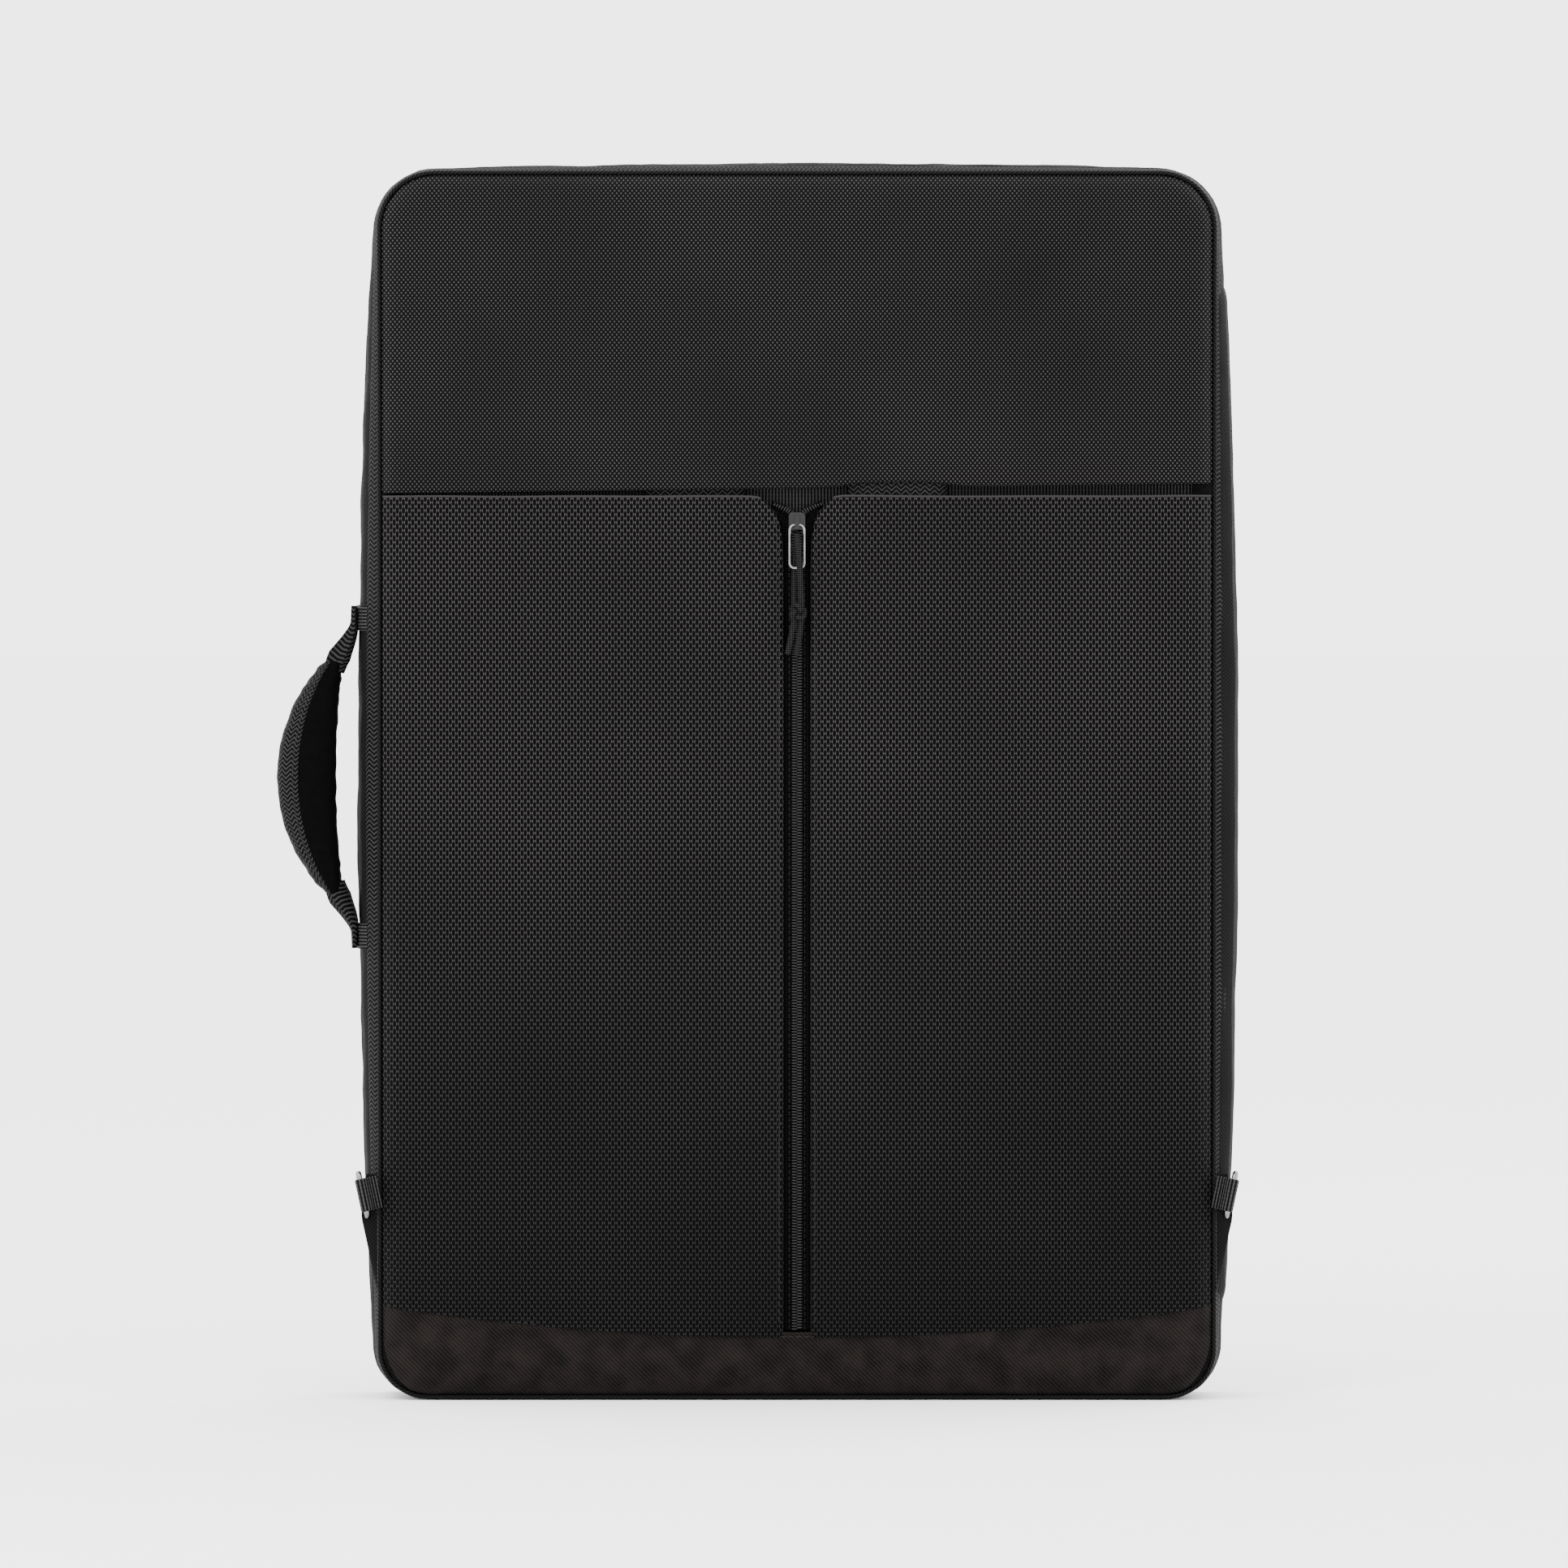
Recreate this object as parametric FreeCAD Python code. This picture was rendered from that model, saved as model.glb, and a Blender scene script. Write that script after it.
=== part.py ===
"""Soft-sided portfolio case for A2 sheets, standing upright on its base, in millimetres.

The back panel faces -Y and carries a stow pocket for two shoulder straps: a woven yoke
above, two air-mesh flaps closed by a centre zip, and a curved kick panel below.  The lid
is the +Y half.  It opens on the spine, the long side at +X.  The carry handle is on the
long side at -X.  The origin is the middle of the flat base, and +Z is up.
"""
import FreeCAD, Part
import math
import os

V = FreeCAD.Vector
os.makedirs("parts", exist_ok=True)

# ---- driving dimensions -------------------------------------------------------------
FACE_WIDTH = 438.0          # back panel between the piping lines
FACE_TOP = 644.0            # height of the piping line at the top
FACE_BASE = 1.7             # height of the piping line at the base
CORNER_TOP = 29.0           # corner radius at the top of the face
CORNER_BASE = 25.0          # corner radius at the base of the face
SIDE_SPREAD = 4.5           # how far the gusset stands out beyond the face at the zip
TOP_SPREAD = 3.0            # the same at the top
SIDE_BOW = 8.0              # further outward bow of the back gusset at mid height
TOP_BOW = 3.0               # further upward bow of the back gusset
GUSSET_BACK = 42.0          # depth of the back gusset, from the face to the zip
GUSSET_FRONT = 18.0         # depth of the lid gusset
GUSSET_PAD = 6.0            # padding of the gusset at the face
COVER = 1.2                 # outer nylon with its backing
BOARD = 3.0                 # stiffening board
LINING = 0.8                # lining fabric
PIPING = 2.4                # piping diameter
SEAM_GAP = 0.2              # air between pieces that are sewn together
RUN_GAP = 0.4               # air between pieces that move past each other
ZIP_GAP = 0.6               # between the two halves of the case at the zip

BACK_CROWN = 12.6           # how far the stow pocket stands out from the back cover
FRONT_CROWN = 6.4           # how far the document pocket stands out from the lid cover
POCKET_SKIN = 4.5           # thickness of the air-mesh flaps
KICK_DROP = 2.2             # the kick panel has no padding and lies this much lower
FRONT_SKIN = 1.6            # thickness of the document pocket's fabric
MOUTH = 474.0               # top edge of the mesh flaps
YOKE_EDGE = 478.5           # lower edge of the yoke
KICK_MIDDLE = 36.5          # top edge of the kick panel on the centre line
KICK_SIDE = 53.0            # top edge of the kick panel at the piping
FRONT_ZIP = 520.0           # height of the document pocket's zip
POCKET_SLIDER_IN = 20.0     # its slider's place from the zip's end

CHAIN = 6.4                 # width of the closed zip chain
CHAIN_DEEP = 2.5            # thickness of the chain
CHAIN_SPLIT = 1.0           # slot down the middle of the chain that the slider's post needs
TAPE = 0.8                  # thickness of the zip tape
TAPE_HALF = 15.0            # half the width of a closed pair of tapes
FLAP_EDGE = 7.0             # each flap's edge to the centre line
VEE_HALF = 12.5             # half width of the vee above the centre zip
VEE_DEEP = 38.0             # height of the vee
ZIP_RECESS = 2.2            # how far the main zip lies below the gusset's surface
ZIP_GROOVE = 6.0            # depth of the groove that the main zip lies in

SLIDER_LONG = 9.0           # length of a slider body
SLIDER_WALL = 0.7           # side walls of a slider body
SLIDER_PLATE = 1.4          # thickness of a slider's plate
BAIL_BAR = 1.1              # thickness of the bail
PULL_WIRE = 1.5             # wire diameter of a pull
PULL_LIFT = 0.3             # air under a pull's wire
CORD_LIFT = 1.95            # the same on the centre zip, where the cord passes behind it
PULL_LONG = 24.0            # length of a wire pull
PULL_WIDE = 9.1             # width of a wire pull
FLAP_SLIDER_TOP = 466.0     # top end of the centre zip's slider when closed

CORD = 3.2                  # diameter of the cord on the centre zip's pull
KNOT_WIDE = 10.0            # the overhand knot in that cord
KNOT_DEEP = 8.6
KNOT_TALL = 11.5
KNOT_X = 0.4                # the knot hangs a little to the right of the zip
KNOT_OUT = 4.5              # from the chain's outer face to the middle of the knot
KNOT_DROP = 52.5            # from the slider's top end down to the middle of the knot

STRAP_WIDE = 50.5           # padded shoulder strap
STRAP_THICK = 5.4
STRAP_X = 53.0              # centre of each shoulder strap
STRAP_TOP = 498.0
STRAP_END = 190.0
WEB_WIDE = 25.0             # webbing of the straps, the handle and the cross web
WEB = 1.6                   # thickness of the webbing
CROSS_WEB_Z = 474.0         # centre of the webbing across the pocket's mouth
LOCK_LONG = 26.0            # ladder lock on each strap
TAIL_END = 84.0             # lower end of each webbing tail

HANDLE_Z = 327.0            # middle of the carry handle
HANDLE_Y = -9.0             # the handle stands in the middle of the back gusset
HANDLE_SPAN = 154.0         # between the two anchor patches
HANDLE_OUT = 36.0           # how far the grip stands out from its hinge line
HANDLE_WIDE = 24.0          # width of the grip, front to back
GRIP_SPAN = 140.0           # length of the grip's outline between its points
GRIP_BLUNT = 8.5            # each point is folded in by this much
GRIP_INNER_SAG = 4.5        # how much the grip's inner edge is curved
PATCH_TALL = 13.5           # box-stitched anchor patch
PATCH = 1.3

RING_WIRE = 3.0             # D-ring wire diameter
RING_TALL = 26.0            # length of the D-ring along its bar, outside
RING_DEEP = 19.0            # from the bar to the top of its bow, outside
RING_Z = 108.0              # height of the middle of each D-ring
RING_TILT = 12.0            # degrees that the bar leans outward
RING_SPLAY = 5.0            # degrees that the bow stands away from the gusset
RING_CLEAR = 0.08           # radial clearance of the bar in its webbing
RING_CORNER = 2.4           # bend at each end of the bar, to the middle of the wire
TAB_ROOM = 0.6              # play of the webbing along the bar
WING_BASE = 58.0            # lower end of the fabric wing behind that webbing
SPINE_LAYER = 1.0           # extra layer over the spine
SPINE_BASE = 52.0           # ends of that layer
SPINE_TOP = 584.0
HINGE_OUT = 1.0             # hinge line of the lid outside the widest part of the case

# ---- places worked out from them ----------------------------------------------------
HALF = FACE_WIDTH / 2
DEPTH = GUSSET_BACK + GUSSET_FRONT
BACK_Y = -DEPTH / 2                       # where the back gusset ends and its cover begins
FRONT_Y = DEPTH / 2
ZIP_Y = BACK_Y + GUSSET_BACK
BACK_FACE = BACK_Y - COVER                # outer face of the back cover
FRONT_FACE = FRONT_Y + COVER
ZIP_HALF_W = HALF + SIDE_SPREAD           # half width of the case at the zip
ZIP_TOP = FACE_TOP + TOP_SPREAD
HINGE_X = ZIP_HALF_W + SIDE_BOW + HINGE_OUT
POCKET_FLOOR = BACK_FACE - SEAM_GAP       # back of everything in the stow pocket
CROWN_Y = POCKET_FLOOR - BACK_CROWN       # outermost plane of the mesh flaps
POCKET_ROOF = CROWN_Y + POCKET_SKIN
TAPE_Y = POCKET_ROOF + 0.1                # outer face of the centre zip's tapes
CHAIN_Y = TAPE_Y - CHAIN_DEEP             # outer face of the centre chain
KNOT_AT = (KNOT_X, CHAIN_Y - KNOT_OUT, FLAP_SLIDER_TOP - KNOT_DROP)
SLIDER_WIDE = CHAIN + 2 * (RUN_GAP + SLIDER_WALL)
TAB_WIDE = RING_TALL - RING_WIRE - 2 * RING_CORNER - TAB_ROOM
OVER = 400.0                              # half size of the cutting blocks
FAR = 2 * OVER


# ---- small tools --------------------------------------------------------------------
def save(name, shape):
    shape.exportStep("parts/" + name + ".step")


def block(x0, x1, y0, y1, z0, z1):
    return Part.makeBox(x1 - x0, y1 - y0, z1 - z0, V(x0, y0, z0))


def outline(y, half, base, top, r_base, r_top, bow=0.0, top_bow=0.0):
    """Closed wire of the case's front view at one depth, with bowed sides and top."""
    k = math.sqrt(0.5)
    mid = (base + top) / 2

    def p(x, z):
        return V(x, y, z)

    def side(a, b, c):
        if abs(bow) + abs(top_bow) < 1e-9:
            return Part.LineSegment(a, c)
        return Part.Arc(a, b, c)

    def corner(cx, cz, r, sx, sz, flat_first):
        on_side = p(cx + sx * r, cz)
        on_flat = p(cx, cz + sz * r)
        middle = p(cx + sx * r * k, cz + sz * r * k)
        if flat_first:
            return Part.Arc(on_flat, middle, on_side)
        return Part.Arc(on_side, middle, on_flat)

    edges = [
        side(p(-half, base + r_base), p(-half - bow, mid), p(-half, top - r_top)),
        corner(-half + r_top, top - r_top, r_top, -1, 1, False),
        side(p(-half + r_top, top), p(0, top + top_bow), p(half - r_top, top)),
        corner(half - r_top, top - r_top, r_top, 1, 1, True),
        side(p(half, top - r_top), p(half + bow, mid), p(half, base + r_base)),
        corner(half - r_base, base + r_base, r_base, 1, -1, False),
        Part.LineSegment(p(half - r_base, base), p(-half + r_base, base)),
        corner(-half + r_base, base + r_base, r_base, -1, -1, True),
    ]
    return Part.Wire([e.toShape() for e in edges])


def face_outline(y, inset=0.0, least_radius=6.0):
    return outline(y, HALF - inset, FACE_BASE + inset, FACE_TOP - inset,
                   max(CORNER_BASE - inset, least_radius), max(CORNER_TOP - inset, least_radius))


def zip_outline(y, inset=0.0):
    return outline(y, ZIP_HALF_W - inset, inset, ZIP_TOP - inset,
                   CORNER_BASE + SIDE_SPREAD - inset, CORNER_TOP + SIDE_SPREAD - inset)


def plate(wire_at, y0, y1, **kw):
    return Part.Face(wire_at(y0, **kw)).extrude(V(0, y1 - y0, 0))


def ring_between(wire_at, y0, y1, outer, inner):
    return plate(wire_at, y0, y1, inset=outer).cut(plate(wire_at, y0, y1, inset=inner))


def spine_window():
    """The part of the right side that the spine covers, where there is no zip."""
    return block(0, FAR, -OVER, OVER, SPINE_BASE, SPINE_TOP)


def tube(path, diameter):
    start = path.Edges[0]
    first = start.valueAt(start.FirstParameter)
    along = start.tangentAt(start.FirstParameter)
    ring = Part.Wire(Part.makeCircle(diameter / 2, first, along))
    return path.makePipeShell([ring], True, False)


def rounded_path(points, name):
    """Straight runs joined by tangent arcs, each as large as its two runs allow."""
    pts = [V(*p) for p in points]
    edges = []
    last = pts[0]
    for before, here, after in zip(pts, pts[1:], pts[2:]):
        a = (before - here)
        b = (after - here)
        run = min(a.Length, b.Length)
        a.normalize()
        b.normalize()
        turn = math.pi - a.getAngle(b)
        back = 0.45 * run
        radius = back / math.tan(turn / 2)
        print(name, "arc radius", round(radius, 1))
        enter = here + a * back
        leave = here + b * back
        centre_way = (a + b)
        centre_way.normalize()
        centre = here + centre_way * (radius / math.cos(turn / 2))
        middle = centre - centre_way * radius
        edges.append(Part.LineSegment(last, enter).toShape())
        edges.append(Part.Arc(enter, middle, leave).toShape())
        last = leave
    edges.append(Part.LineSegment(last, pts[-1]).toShape())
    return Part.Wire(edges)


# ---- shell halves -------------------------------------------------------------------
def gusset_solid(sections):
    """Padded wall round the case: a bowed outside and a straight inside."""
    wires = []
    for y, spread, bow, top_spread, top_bow, base in sections:
        wires.append(outline(y, HALF + spread, base, FACE_TOP + top_spread,
                             CORNER_BASE + spread, CORNER_TOP + spread, bow, top_bow))
    outside = Part.makeLoft(wires, True, True)
    y0 = sections[0][0]
    y1 = sections[-1][0]
    inside = plate(face_outline, min(y0, y1) - 1, max(y0, y1) + 1, inset=GUSSET_PAD)
    return outside.cut(inside).cut(block(-OVER, OVER, -OVER, OVER, -OVER, 0))


def zip_groove(y0, y1):
    around = block(-OVER, OVER, y0, y1, -OVER, FAR)
    ring = around.cut(plate(zip_outline, y0, y1, inset=ZIP_GROOVE))
    return ring.cut(spine_window())


def split_gusset(wall, prefix, spine_name):
    """Cut the wall at its seams into left, top, base and spine."""
    low = CORNER_BASE + FACE_BASE
    high = FACE_TOP - CORNER_TOP
    save(prefix + "_base", wall.common(block(-OVER, OVER, -OVER, OVER, -1, low)))
    save(prefix + "_top", wall.common(block(-OVER, OVER, -OVER, OVER, high, FAR)))
    save(prefix + "_left", wall.common(block(-OVER, 0, -OVER, OVER, low, high)))
    spine = wall.common(block(0, OVER, -OVER, OVER, low, high))
    layer = wall.copy()
    layer.translate(V(SPINE_LAYER, 0, 0))
    layer = layer.common(block(HALF, OVER, -OVER, OVER, SPINE_BASE, SPINE_TOP))
    save(spine_name, spine.fuse(layer).removeSplitter())


def zip_half(prefix, y_edge, y_groove):
    """One half of the main zip: tape and chain, on every side but the spine."""
    y0 = min(y_edge, y_groove)
    y1 = max(y_edge, y_groove)
    toward = 1 if y_groove > y_edge else -1
    tape_out = ZIP_RECESS + CHAIN_DEEP + 0.1
    tape = ring_between(zip_outline, y0, y1, tape_out, tape_out + TAPE)
    save(prefix + "_zip_tape", tape.cut(spine_window()))
    c0 = y_edge
    c1 = y_edge + toward * (CHAIN - ZIP_GAP) / 2
    chain = ring_between(zip_outline, min(c0, c1), max(c0, c1), ZIP_RECESS,
                         ZIP_RECESS + CHAIN_DEEP)
    save(prefix + "_zip_coil", chain.cut(spine_window()))


def piping(y):
    return tube(face_outline(y), PIPING)


def back_shell():
    edge = ZIP_Y - ZIP_GAP / 2
    groove = edge - TAPE_HALF / 2
    start = BACK_Y + SEAM_GAP
    sections = [(start, 0, 0, 0, 0, FACE_BASE),
                (start + 0.24 * GUSSET_BACK, SIDE_SPREAD * 0.7, SIDE_BOW * 0.85, 2.5, TOP_BOW * 0.8, -0.6),
                (start + 0.52 * GUSSET_BACK, SIDE_SPREAD, SIDE_BOW, TOP_SPREAD, TOP_BOW, -0.6),
                (groove, SIDE_SPREAD, SIDE_BOW * 0.6, TOP_SPREAD, TOP_BOW * 0.7, -0.6),
                (edge, SIDE_SPREAD, 0, TOP_SPREAD, 0, -0.6)]
    wall = gusset_solid(sections).cut(zip_groove(groove, edge + 1))
    split_gusset(wall, "gusset", "spine_back")
    zip_half("back", edge, groove + SEAM_GAP)
    save("back_cover", plate(face_outline, BACK_FACE, BACK_Y, inset=PIPING / 2 + SEAM_GAP))
    inner = GUSSET_PAD + SEAM_GAP
    board_y = BACK_Y + BOARD
    save("back_board", plate(face_outline, BACK_Y, board_y, inset=inner))
    save("back_lining", plate(face_outline, board_y, board_y + LINING, inset=inner))
    save("back_piping", piping(BACK_Y + SEAM_GAP - PIPING / 2 - 0.1))


def lid_shell():
    edge = ZIP_Y + ZIP_GAP / 2
    groove = edge + TAPE_HALF / 2
    end = FRONT_Y - SEAM_GAP
    sections = [(edge, SIDE_SPREAD, 0, TOP_SPREAD, 0, -0.6),
                (groove, SIDE_SPREAD * 0.9, SIDE_BOW * 0.2, TOP_SPREAD * 0.9, TOP_BOW * 0.2, -0.6),
                (end - 4, SIDE_SPREAD * 0.5, SIDE_BOW * 0.1, TOP_SPREAD * 0.5, 0.1, -0.6),
                (end, 0, 0, 0, 0, FACE_BASE)]
    wall = gusset_solid(sections).cut(zip_groove(edge - 1, groove))
    split_gusset(wall, "lid_gusset", "spine_lid")
    zip_half("lid", edge, groove - SEAM_GAP)
    save("lid_cover", plate(face_outline, FRONT_Y, FRONT_FACE, inset=PIPING / 2 + SEAM_GAP))
    inner = GUSSET_PAD + SEAM_GAP
    board_y = FRONT_Y - BOARD
    save("lid_board", plate(face_outline, board_y, FRONT_Y, inset=inner))
    save("lid_lining", plate(face_outline, board_y - LINING, board_y, inset=inner))
    save("lid_piping", piping(FRONT_Y - SEAM_GAP + PIPING / 2 + 0.1))


# ---- stow pocket on the back --------------------------------------------------------
def crowned(face_y, crown, toward, edge_inset, lift=0.0):
    """A pad over a whole face: full height in the middle, falling to the piping."""
    steps = [(0.0, 0.0), (0.36, 2.4), (0.72, 8.0), (0.92, 20.0), (1.0, 36.0)]
    wires = []
    for share, inset in steps:
        y = face_y + toward * (crown * share + lift)
        wires.append(face_outline(y, inset=edge_inset + inset, least_radius=10.0))
    return Part.makeLoft(wires, True, True)


def kick_block(lift=0.0):
    """Everything below the kick panel's curved top edge."""
    left = V(-HALF, -OVER, KICK_SIDE + lift)
    middle = V(0, -OVER, KICK_MIDDLE + lift)
    right = V(HALF, -OVER, KICK_SIDE + lift)
    arc = Part.Arc(left, middle, right).toShape()
    rest = Part.makePolygon([right, V(HALF, -OVER, -9), V(-HALF, -OVER, -9), left])
    return Part.Face(Part.Wire([arc] + rest.Edges)).extrude(V(0, OVER, 0))


def vee_block():
    """The opening between the flaps: a parallel slot, flared at the top."""
    top = MOUTH + 1
    flare = MOUTH - VEE_DEEP
    corner = 8.0
    half = [(FLAP_EDGE, -9), (FLAP_EDGE, flare), (VEE_HALF, MOUTH - corner),
            (VEE_HALF + 0.4 * corner, MOUTH - 0.3 * corner), (VEE_HALF + corner, top)]
    pts = [V(x, -OVER, z) for x, z in half]
    pts += [V(-x, -OVER, z) for x, z in reversed(half)]
    return Part.Face(Part.makePolygon(pts + [pts[0]])).extrude(V(0, OVER, 0))


def stow_pocket():
    edge = PIPING / 2 + SEAM_GAP
    pad = crowned(POCKET_FLOOR, BACK_CROWN, -1, edge)
    hollow = crowned(POCKET_FLOOR + 0.1, POCKET_FLOOR + 0.1 - POCKET_ROOF, -1, edge + 5)
    hollow = hollow.cut(block(-OVER, OVER, -OVER, OVER, STRAP_TOP + 4, FAR))
    shell = pad.cut(hollow)
    save("yoke_panel", shell.common(block(-OVER, OVER, -OVER, 0, YOKE_EDGE, FAR)))
    low_pad = crowned(POCKET_FLOOR, BACK_CROWN - KICK_DROP, -1, edge)
    save("kick_panel", low_pad.cut(hollow).common(kick_block()))
    flaps = shell.cut(kick_block(SEAM_GAP)).cut(vee_block())
    flaps = flaps.cut(block(-OVER, OVER, -OVER, OVER, MOUTH, FAR))
    tape_room = TAPE_HALF + SEAM_GAP
    flaps = flaps.cut(block(-tape_room, tape_room, POCKET_ROOF, POCKET_FLOOR, -9, MOUTH))
    save("mesh_flap_left", flaps.common(block(-OVER, 0, -OVER, 0, -1, FAR)))
    save("mesh_flap_right", flaps.common(block(0, OVER, -OVER, 0, -1, FAR)))


def coil_row(side, low):
    """Half of the centre chain: straight, then curling out into the vee."""
    start = FLAP_SLIDER_TOP - 0.45 * SLIDER_LONG
    inner = CHAIN_SPLIT / 2
    outer = CHAIN / 2
    straight = block(inner, outer, CHAIN_Y, TAPE_Y, low, start)
    turn = 8.0
    centre = V((inner + outer) / 2 + turn, CHAIN_Y, start)
    width = (outer - inner) / 2
    big = Part.makeCylinder(turn + width, TAPE_Y - CHAIN_Y, centre, V(0, 1, 0))
    small = Part.makeCylinder(turn - width, TAPE_Y - CHAIN_Y, centre, V(0, 1, 0))
    quarter = block(inner, centre.x, CHAIN_Y, TAPE_Y, start, start + turn + width)
    row = straight.fuse(big.cut(small).common(quarter)).removeSplitter()
    if side < 0:
        row = row.mirror(V(0, 0, 0), V(1, 0, 0))
    return row


def centre_zip():
    """Tapes behind the flaps' edges and the chain between them."""
    low = KICK_MIDDLE + 1.0
    flare = MOUTH - VEE_DEEP
    top = MOUTH - 2.0
    drift = VEE_HALF - FLAP_EDGE
    for side, name in ((-1, "left"), (1, "right")):
        points = [(CHAIN_SPLIT / 2 + 0.4, low), (TAPE_HALF, low), (TAPE_HALF, flare),
                  (TAPE_HALF + drift, top), (CHAIN + 2 * drift, top),
                  (CHAIN / 2 + 0.8, FLAP_SLIDER_TOP + 1.0), (CHAIN_SPLIT / 2 + 0.4, FLAP_SLIDER_TOP - 4.0)]
        pts = [V(side * x, TAPE_Y, z) for x, z in points]
        tape = Part.Face(Part.makePolygon(pts + [pts[0]])).extrude(V(0, TAPE, 0))
        save("flap_tape_" + name, tape)
    save("flap_coil", Part.Compound([coil_row(-1, low), coil_row(1, low)]))


def stowed_straps():
    """Shoulder straps folded down inside the pocket, each with its tail and hook."""
    web_y = POCKET_FLOOR - SEAM_GAP
    half = HALF - 12
    cross = block(-half, half, web_y - WEB, web_y, CROSS_WEB_Z - WEB_WIDE / 2, CROSS_WEB_Z + WEB_WIDE / 2)
    save("cross_webbing", cross)
    strap_y = web_y - WEB - SEAM_GAP
    for side, name in ((-1, "left"), (1, "right")):
        x = side * STRAP_X
        strap = block(x - STRAP_WIDE / 2, x + STRAP_WIDE / 2, strap_y - STRAP_THICK, strap_y,
                      STRAP_END, STRAP_TOP)
        foot = [e for e in strap.Edges if abs(e.CenterOfMass.z - STRAP_END) < 1e-6 or
                abs(e.CenterOfMass.z - STRAP_TOP) < 1e-6]
        foot = [e for e in foot if abs(e.CenterOfMass.x - x) > 1]
        save("shoulder_strap_" + name, strap.makeChamfer(1.2, foot))
        lock_top = STRAP_END - SEAM_GAP
        save("ladder_lock_" + name, ladder_lock(x, strap_y - 0.5, lock_top))
        tail_top = lock_top - LOCK_LONG - SEAM_GAP
        tail = block(x - WEB_WIDE / 2, x + WEB_WIDE / 2, strap_y - 3.6 - WEB / 2, strap_y - 3.6 + WEB / 2,
                     TAIL_END, tail_top)
        save("tail_webbing_" + name, tail)
        save("snap_hook_" + name, snap_hook(x, strap_y - 3.6, TAIL_END - SEAM_GAP))


def ladder_lock(x, y, top):
    """Flat buckle with two slots for webbing."""
    half = WEB_WIDE / 2 + 3.5
    thick = 3.4
    body = block(x - half, x + half, y - thick - 1, y - 1, top - LOCK_LONG, top)
    slot = WEB_WIDE / 2 + 0.5
    for z in (top - 7.0, top - LOCK_LONG / 2 - 3.0, top - LOCK_LONG + 3.5):
        body = body.cut(block(x - slot, x + slot, y - 9, y, z - 1.4, z + 1.4))
    return body


def snap_hook(x, y, top):
    """Swivel base with a slot for the webbing, and a hook with its gate below."""
    thick = 3.6
    half = WEB_WIDE / 2 + 2.5
    base = block(x - half, x + half, y - thick / 2, y + thick / 2, top - 9, top)
    neck = block(x - 2.4, x + 2.4, y - thick / 2, y + thick / 2, top - 14, top - 9)
    bow_r = 7.5
    centre = V(x, y - thick / 2, top - 14 - bow_r)
    bow = Part.makeCylinder(bow_r, thick, centre, V(0, 1, 0))
    bow = bow.cut(Part.makeCylinder(bow_r - 3.0, thick, centre, V(0, 1, 0)))
    return base.fuse(neck).fuse(bow).removeSplitter()


# ---- sliders and pulls --------------------------------------------------------------
def bail_height(lift):
    return lift + PULL_WIRE + 0.3 + BAIL_BAR


def slider_body(with_back, lift):
    """A slider over a chain that runs along Z, with the chain's outer face at y = 0.

    It lies between z = 0 and its length, and its plate and bail stand out toward -Y.
    With a back plate it goes through the chain's slot and behind both tapes.
    """
    half = SLIDER_WIDE / 2
    front = -RUN_GAP
    plate_y = front - SLIDER_PLATE
    body = block(-half, half, plate_y, front, 0, SLIDER_LONG)
    corners = [e for e in body.Edges if abs(abs(e.CenterOfMass.x) - half) < 1e-6
               and abs(e.CenterOfMass.y - (plate_y + front) / 2) < 1e-6]
    body = body.makeFillet(2.2, corners)
    reach = CHAIN_DEEP * 0.6
    wall = half - CHAIN / 2 - RUN_GAP
    flange_top = 0.45 * SLIDER_LONG
    body = body.fuse(block(-half, -half + wall, front - 0.5, reach, 1.2, flange_top))
    if with_back:
        body = body.fuse(block(half - wall, half, front - 0.5, reach, 1.2, flange_top))
        back0 = CHAIN_DEEP + TAPE + RUN_GAP
        post = CHAIN_SPLIT / 2 - 0.2
        body = body.fuse(block(-half + 1, half - 1, back0, back0 + 1.0, 1.0, SLIDER_LONG - 1.0))
        body = body.fuse(block(-post, post, front - 0.5, back0 + 0.5, SLIDER_LONG - 3.4, SLIDER_LONG - 1.6))
    high = bail_height(lift)
    bail = block(-1.3, 1.3, plate_y - high, plate_y + 0.3, 0.3, SLIDER_LONG - 2.0)
    eye = block(-3, 3, plate_y - high + BAIL_BAR, plate_y, 0.3 + BAIL_BAR, SLIDER_LONG - 2.0 - BAIL_BAR)
    return body.fuse(bail.cut(eye)).removeSplitter()


def pull_line(lift):
    """Where the pull's wire runs through the bail: (y, z) in the slider's own frame."""
    y = -RUN_GAP - SLIDER_PLATE - PULL_WIRE / 2 - lift
    z = 0.3 + BAIL_BAR + PULL_WIRE / 2 + 0.3
    return y, z


def wire_pull(length, lift):
    """Closed wire loop hanging down from the bail."""
    y, z = pull_line(lift)
    half = (PULL_WIDE - PULL_WIRE) / 2
    r = 2.6
    k = r * (1 - math.sqrt(0.5))
    top = z
    low = z - length + PULL_WIRE

    def p(x, h):
        return V(x, y, h)

    edges = [Part.LineSegment(p(-half + r, top), p(half - r, top)),
             Part.Arc(p(half - r, top), p(half - k, top - k), p(half, top - r)),
             Part.LineSegment(p(half, top - r), p(half, low + r)),
             Part.Arc(p(half, low + r), p(half - k, low + k), p(half - r, low)),
             Part.LineSegment(p(half - r, low), p(-half + r, low)),
             Part.Arc(p(-half + r, low), p(-half + k, low + k), p(-half, low + r)),
             Part.LineSegment(p(-half, low + r), p(-half, top - r)),
             Part.Arc(p(-half, top - r), p(-half + k, top - k), p(-half + r, top))]
    return tube(Part.Wire([e.toShape() for e in edges]), PULL_WIRE)


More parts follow.
